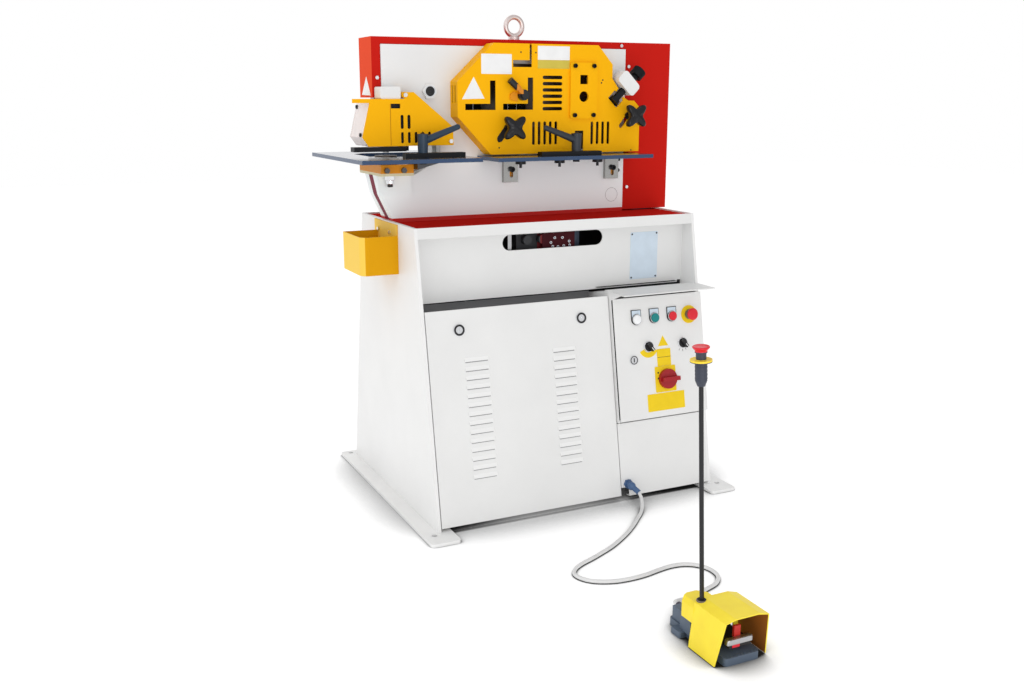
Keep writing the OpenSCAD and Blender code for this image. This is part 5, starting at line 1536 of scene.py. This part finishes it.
@dataclass
class PunchStation(SubAssembly):
    """Details of the punching end."""

    cover_left: float = -0.546
    triangle: Pairs = ((-0.016, 1.357), (-0.063, 1.302), (0.0235, 1.300))
    window_screws: tuple[Triple, ...] = ((-0.5800, 0.008, 1.266), (-0.6003, -0.085, 1.184))
    guard_inside: Pairs = ((-0.5105, 1.157), (-0.325, 1.157), (-0.325, 1.210), (-0.420, 1.288),
                           (-0.5105, 1.288))
    shade_backing_y: float = -0.0885
    shade_backing_t: float = 0.0030
    fold: Flat = Flat(0.0016, 0.124, 0.0003, edge=FINE_EDGE)
    fold_at: Pair = (-0.512, 1.214)
    back_plate: Pairs = ((-0.5215, 1.006), (-0.515, 0.999), (-0.443, 0.997), (-0.436, 1.003),
                         (-0.428, 1.058), (-0.536, 1.058))
    back_plate_t: float = 0.0022
    fitting_at: Triple = (-0.507, -0.068, 1.0595)
    fitting_hex: float = 0.017
    fitting_height: float = 0.014
    fitting_edge: float = 0.001
    neck_below: float = 0.0135
    neck: Pairs = ((0.0125, 0), (0.0125, 0.011), (0.0110, 0.0125))
    tip_below: float = 0.0255
    tip: Pairs = ((0.0085, 0), (0.0085, 0.008), (0.0070, 0.0095))
    lever_top: Triple = (-0.430, -0.155, 1.187)

    def guards(self) -> None:
        """The blank sign, the window screws, the dark sheet behind the guard's slots and the line along its
        fold, both painted shade, and the back plate.
        """
        side = Face.leftward(self.cover_left)
        Piece("blank_cover_sign", Finish.LABEL_WHITE).sign(side.at(), self.triangle).done("white_paint")
        places = [shift(*p) @ side.matrix.to_3x3().to_4x4() for p in self.window_screws]
        self.repeater.copies("window_screws", CAP_SCREW, places, Finish.RUBBER, "fasteners")
        # Painted shade: a dark sheet behind the guard's slots darkens what shows through them.
        shade_backing = Piece("guard_slot_lining", Finish.RUBBER)
        shade_backing.slab(Face.upright(self.shade_backing_y).at(), self.guard_inside, self.shade_backing_t).done("dark_paint")
        # Painted shade: a darker orange line along the guard's bend.
        fold = Piece("guard_fold_line", Finish.SEAM)
        fold.flat(Face.upright(SHIELD_FACE).at(*self.fold_at), self.fold).done("yellow_paint")
        plate = Piece("bolster_back_plate", Finish.LABEL_WHITE)
        plate.slab(Face.upright(PLATE_FRONT).at(), self.back_plate, self.back_plate_t).done("white_paint")

    def fittings(self) -> None:
        """The fitting under the bolster and the button of the clamp lever."""
        down = shift(*self.fitting_at) @ spin(180, "X")
        hexagon = [on_circle(self.fitting_hex, k, 6) for k in range(6)]
        fitting = Piece("bolster_fitting", Finish.CHROME)
        fitting.slab(down, hexagon, self.fitting_height, self.fitting_edge)
        fitting.lathe(down @ shift(z=self.neck_below), self.neck).done("chrome")
        tip = Piece("bolster_fitting_end", Finish.BLACK)
        tip.lathe(down @ shift(z=self.tip_below), self.tip).done("black_plastic")
        button = Piece("left_lever_button", Finish.BLACK)
        button.lathe(shift(*self.lever_top), LEVER_BUTTON).done("black_plastic", Body.LEFT_LEVER)

    def build(self) -> None:
        """Make every piece of the punching end."""
        self.guards()
        self.fittings()


@dataclass
class ShearStation(SubAssembly):
    """Details of the shearing end."""

    star_ats: Pairs = ((-0.118, 1.201), (0.327, 1.235))
    star_points: int = 96
    star_lobes: int = 4
    star_waist: float = 0.0230
    star_tip: float = 0.0470
    star_pinch: float = 1.5
    star_layers: Pairs = (
        (0.84, 0.0415), (0.96, 0.0435), (1.0, 0.0475), (1.0, 0.0545), (0.97, 0.0590), (0.88, 0.0625),
        (0.70, 0.0640), (0.45, 0.0645), (0.36, 0.0655), (0.30, 0.0660))
    star_stem: Pairs = ((0.005, -0.020), (0.005, 0.0003), (0.013, 0.0003), (0.013, 0.008), (0.009, 0.008),
                        (0.009, 0.031), (0.017, 0.031), (0.022, 0.043))
    star_smooth: float = 50.0
    star_slot: Flat = Flat(0.066, 0.021, 0.0003, 0.0104, FINE_EDGE)
    star_slot_at: Pair = (-0.1320, 1.1845)
    star_slot_turn: float = 52.0
    left_sign: Flat = Flat(0.105, 0.061, SIGN_T, 0.002, SIGN_EDGE)
    left_sign_at: Pair = (-0.1575, 1.3965)
    triangle: Pairs = ((-0.276, 1.289), (-0.1995, 1.291), (-0.236, 1.357))
    upper_sign: Flat = Flat(0.115, 0.043, SIGN_T, 0.001, SIGN_EDGE)
    upper_sign_at: Pair = (0.0445, 1.4325)
    lower_sign: Flat = Flat(0.115, 0.026, SIGN_T, 0.001, SIGN_EDGE)
    lower_sign_at: Pair = (0.0445, 1.3975)
    dots: Pairs = ((0.227, 1.350), (0.2225, 1.341), (-0.0726, 1.4336), (-0.020, 1.433), (0.342, 1.1215),
                   (-0.149, 1.138))
    handle_at: Pair = (-0.068, 1.302)
    tag: Pairs = ((-0.044, -0.014), (-0.019, -0.020), (-0.0185, 0.006), (-0.032, 0.010), (-0.044, 0.002))
    tag_t: float = 0.0055
    hold_at: Triple = (0.322, GUARD_FACE, 1.334)
    hold_lean: float = 45.0
    knob_radius: float = 0.0220
    knob_span: Pair = (0.042, 0.068)
    knob_cap: Triple = (0.006, 0.0150, 0.0012)
    cap_gap: float = 0.0005
    ridges: int = 40
    ridge_width: float = 0.0018
    ridge_height: float = 0.0009
    ridge_root: float = 0.0002
    slot_mark: Flat = Flat(0.0105, 0.030, 0.0010, 0.005)
    slot_mark_y: float = PLATE_FRONT - 0.0004
    slot_marks: Pairs = ((-0.084, 1.056), (0.298, 1.052))
    lever_top: Triple = (0.093, -0.167, 1.182)

    def stars(self) -> None:
        """Moulded star knobs on their screws, and a dark plate behind the left one, painted as the shade in
        its wide slot.
        """
        face = Face.upright(GUARD_FACE)
        outline: list[Pair] = []
        for k in range(self.star_points):
            lobe = (1 - math.cos(2 * self.star_lobes * math.pi * k / self.star_points)) / 2
            reach = self.star_waist + (self.star_tip - self.star_waist) * lobe ** self.star_pinch
            outline.append(on_circle(reach, k, self.star_points))
        for (x, z), body in zip(self.star_ats, (Body.LEFT_STAR, Body.RIGHT_STAR)):
            star = Piece(f"{body.value}_moulding", Finish.STAR)
            star.lathe(face.at(x, z), self.star_stem).loft(face.at(x, z), outline, self.star_layers)
            obj = star.done("black_plastic", body, self.star_smooth)
            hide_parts(body.value)
        # Painted shade: a dark plate on the guard stands for the shade in the wide slot.
        slot = Piece("left_star_slot", Finish.RUBBER)
        slot.flat(face.at(*self.star_slot_at, turn=self.star_slot_turn), self.star_slot).done("dark_paint")

    def signs(self) -> None:
        """Blank signs on the guard, and dark dots beside them painted as the shade in drilled holes."""
        face = Face.upright(GUARD_FACE)
        white = Piece("blank_guard_signs", Finish.LABEL_WHITE)
        white.flat(face.at(*self.left_sign_at), self.left_sign).sign(face.at(), self.triangle)
        white.flat(face.at(*self.upper_sign_at), self.upper_sign).done("white_paint")
        ochre = Piece("blank_guard_strip", Finish.LABEL_OCHRE)
        ochre.flat(face.at(*self.lower_sign_at), self.lower_sign).done("yellow_paint")
        # Painted shade: dark dots stand for the shade inside drilled holes.
        places = [face.at(x, z) for x, z in self.dots]
        self.repeater.copies("guard_drilled_dots", DRILLED_DOT, places, Finish.RUBBER, "dark_paint")

    def fittings(self) -> None:
        """Tag by the handle, trim of the hold-down knob, slot marks and the lever's button."""
        tag = Piece("handle_tag", Finish.ORANGE)
        tag.slab(Face.upright(GUARD_FACE).at(*self.handle_at), self.tag, self.tag_t).done("yellow_paint")
        low, high = self.knob_span
        axis = shift(*self.hold_at) @ spin(self.hold_lean, "Y")
        rim = shift(self.knob_radius - self.ridge_root, 0, (low + high) / 2) @ spin(90, "Y")
        places = [axis @ spin(360 * k / self.ridges) @ rim for k in range(self.ridges)]
        rib = ridge(high - low, self.ridge_width, self.ridge_height)
        self.repeater.copies("hold_down_ridges", rib, places, Finish.BLACK_STEEL, "black_paint",
                             Body.HOLD_DOWN)
        cap = Piece("hold_down_cap", Finish.BLACK)
        cap.ring(axis @ shift(z=high + self.cap_gap), *self.knob_cap).done("black_plastic", Body.HOLD_DOWN)
        marks = Piece("bracket_slot_marks", Finish.ORANGE)
        for x, z in self.slot_marks:
            marks.flat(Face.upright(self.slot_mark_y).at(x, z), self.slot_mark)
        marks.done("red_paint")
        button = Piece("right_lever_button", Finish.BLACK)
        button.lathe(shift(*self.lever_top), LEVER_BUTTON).done("black_plastic", Body.RIGHT_LEVER)

    def build(self) -> None:
        """Make every piece of the shearing end."""
        self.stars()
        self.signs()
        self.fittings()


@dataclass
class Pedal(SubAssembly):
    """Details of the foot pedal and its post."""

    pivot: Triple = (-0.127, -1.278, 0.044)
    bar: Flat = Flat(0.076, 0.016, 0.0125, 0.006, 0.0030)
    bar_at: Triple = (0.0, -0.103, 0.0010)
    bar_end: float = 0.003
    ribs: int = 15
    rib_z: float = 0.0130
    mark: Flat = Flat(0.022, 0.008, 0.0008, 0.001)
    mark_at: Triple = (-0.011, -0.108, -0.004)
    backing: Flat = Flat(0.116, 0.060, 0.0020, 0.004)
    backing_y: float = -1.2905
    backing_z: float = 0.086
    grommet: Triple = (0.0060, 0.0136, 0.0135)
    grommet_up: float = 0.0400
    seal: Triple = (0.0060, 0.0112, 0.0022)
    seal_up: float = 0.0520
    lug: Flat = Flat(0.022, 0.040, 0.016, 0.006, 0.002)
    lug_at: Triple = (-0.186, -1.222, 0.0)
    base_ridges: int = 9
    base_ridge_left: float = -0.040
    base_ridge_step: float = 0.010
    base_ridge_y: float = -1.393
    base_ridge_z: float = 0.0196
    grips: int = 5
    grip_from: float = 0.604
    grip_step: float = 0.009

    def treadle(self) -> None:
        """Bright ribbed bar on the treadle's edge and the red mark under it."""
        hinge = shift(*self.pivot)
        bar = Piece("treadle_bar", Finish.STEEL)
        bar.flat(hinge @ shift(*self.bar_at), self.bar).done("steel", Body.FOOT_PEDAL)
        first = -self.bar.width / 2 + self.bar_end
        step = (self.bar.width - 2 * self.bar_end) / (self.ribs - 1)
        places = [hinge @ shift(first + i * step, self.bar_at[1], self.rib_z) @ spin(90)
                  for i in range(self.ribs)]
        self.repeater.copies("treadle_ribs", TREADLE_RIB, places, Finish.STEEL, "steel", Body.FOOT_PEDAL)
        mark = Piece("treadle_mark", Finish.RED_PLASTIC)
        mark.flat(hinge @ shift(*self.mark_at) @ spin(90, "X"), self.mark)
        mark.done("red_plastic", Body.FOOT_PEDAL)

    def housing(self) -> None:
        """Backing inside the hood, rings round the post, side lug and ridges on the base."""
        middle = self.pivot[0]
        backing = Piece("hood_backing", Finish.RUBBER)
        backing.flat(Face.upright(self.backing_y).at(middle, self.backing_z), self.backing)
        backing.done("black_plastic")
        foot = Matrix.Translation(POST_FOOT) @ Matrix.Rotation(-POST_LEAN, 4, "Y")
        grommet = Piece("post_grommet", Finish.NECK)
        grommet.ring(foot @ shift(z=self.grommet_up), *self.grommet).done("black_plastic")
        seal = Piece("post_seal", Finish.RUBBER)
        seal.ring(foot @ shift(z=self.seal_up), *self.seal).done("black_plastic")
        lug = Piece("base_side_lug", Finish.BASE_GREY)
        lug.flat(shift(*self.lug_at), self.lug).done("blue_grey_plastic")
        first, step = middle + self.base_ridge_left, self.base_ridge_step
        places = [shift(first + step * i, self.base_ridge_y, self.base_ridge_z) @ spin(90)
                  for i in range(self.base_ridges)]
        self.repeater.copies("base_front_ridges", BASE_RIDGE, places, Finish.BASE_GREY, "blue_grey_plastic")
        rings = [foot @ shift(z=self.grip_from + self.grip_step * i) for i in range(self.grips)]
        self.repeater.copies("grip_rings", GRIP_RING, rings, Finish.POST, "black_plastic")

    def build(self) -> None:
        """Make every piece of the pedal."""
        self.treadle()
        self.housing()


def dress_nodes(nodes: dict[str, bpy.types.Object]) -> None:
    """Give every carried-over node its procedural finish.

    Args:
        nodes: Nodes of the frame by name.
    """
    for finish, names in NODES_OF.items():
        for name in names:
            nodes[name].data.materials.clear()
            nodes[name].data.materials.append(finish.material())
            LOG.info("node %s in %s", name, finish.value.name)


def main() -> None:
    """Build the scene."""
    logging.basicConfig(level=logging.INFO, format="%(name)s: %(message)s")
    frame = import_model()
    stage = Stage()
    stage.camera()
    Cord().build()
    dress_nodes(frame["nodes"])
    repeater = Repeater()
    for part in (Controls, Cabinet, FrameFront, PunchStation, ShearStation, Pedal):
        part(repeater).build()
    stage.floor()
    stage.surround()
    stage.lights()
    bpy.context.view_layer.update()


if __name__ == "__main__":
    main()
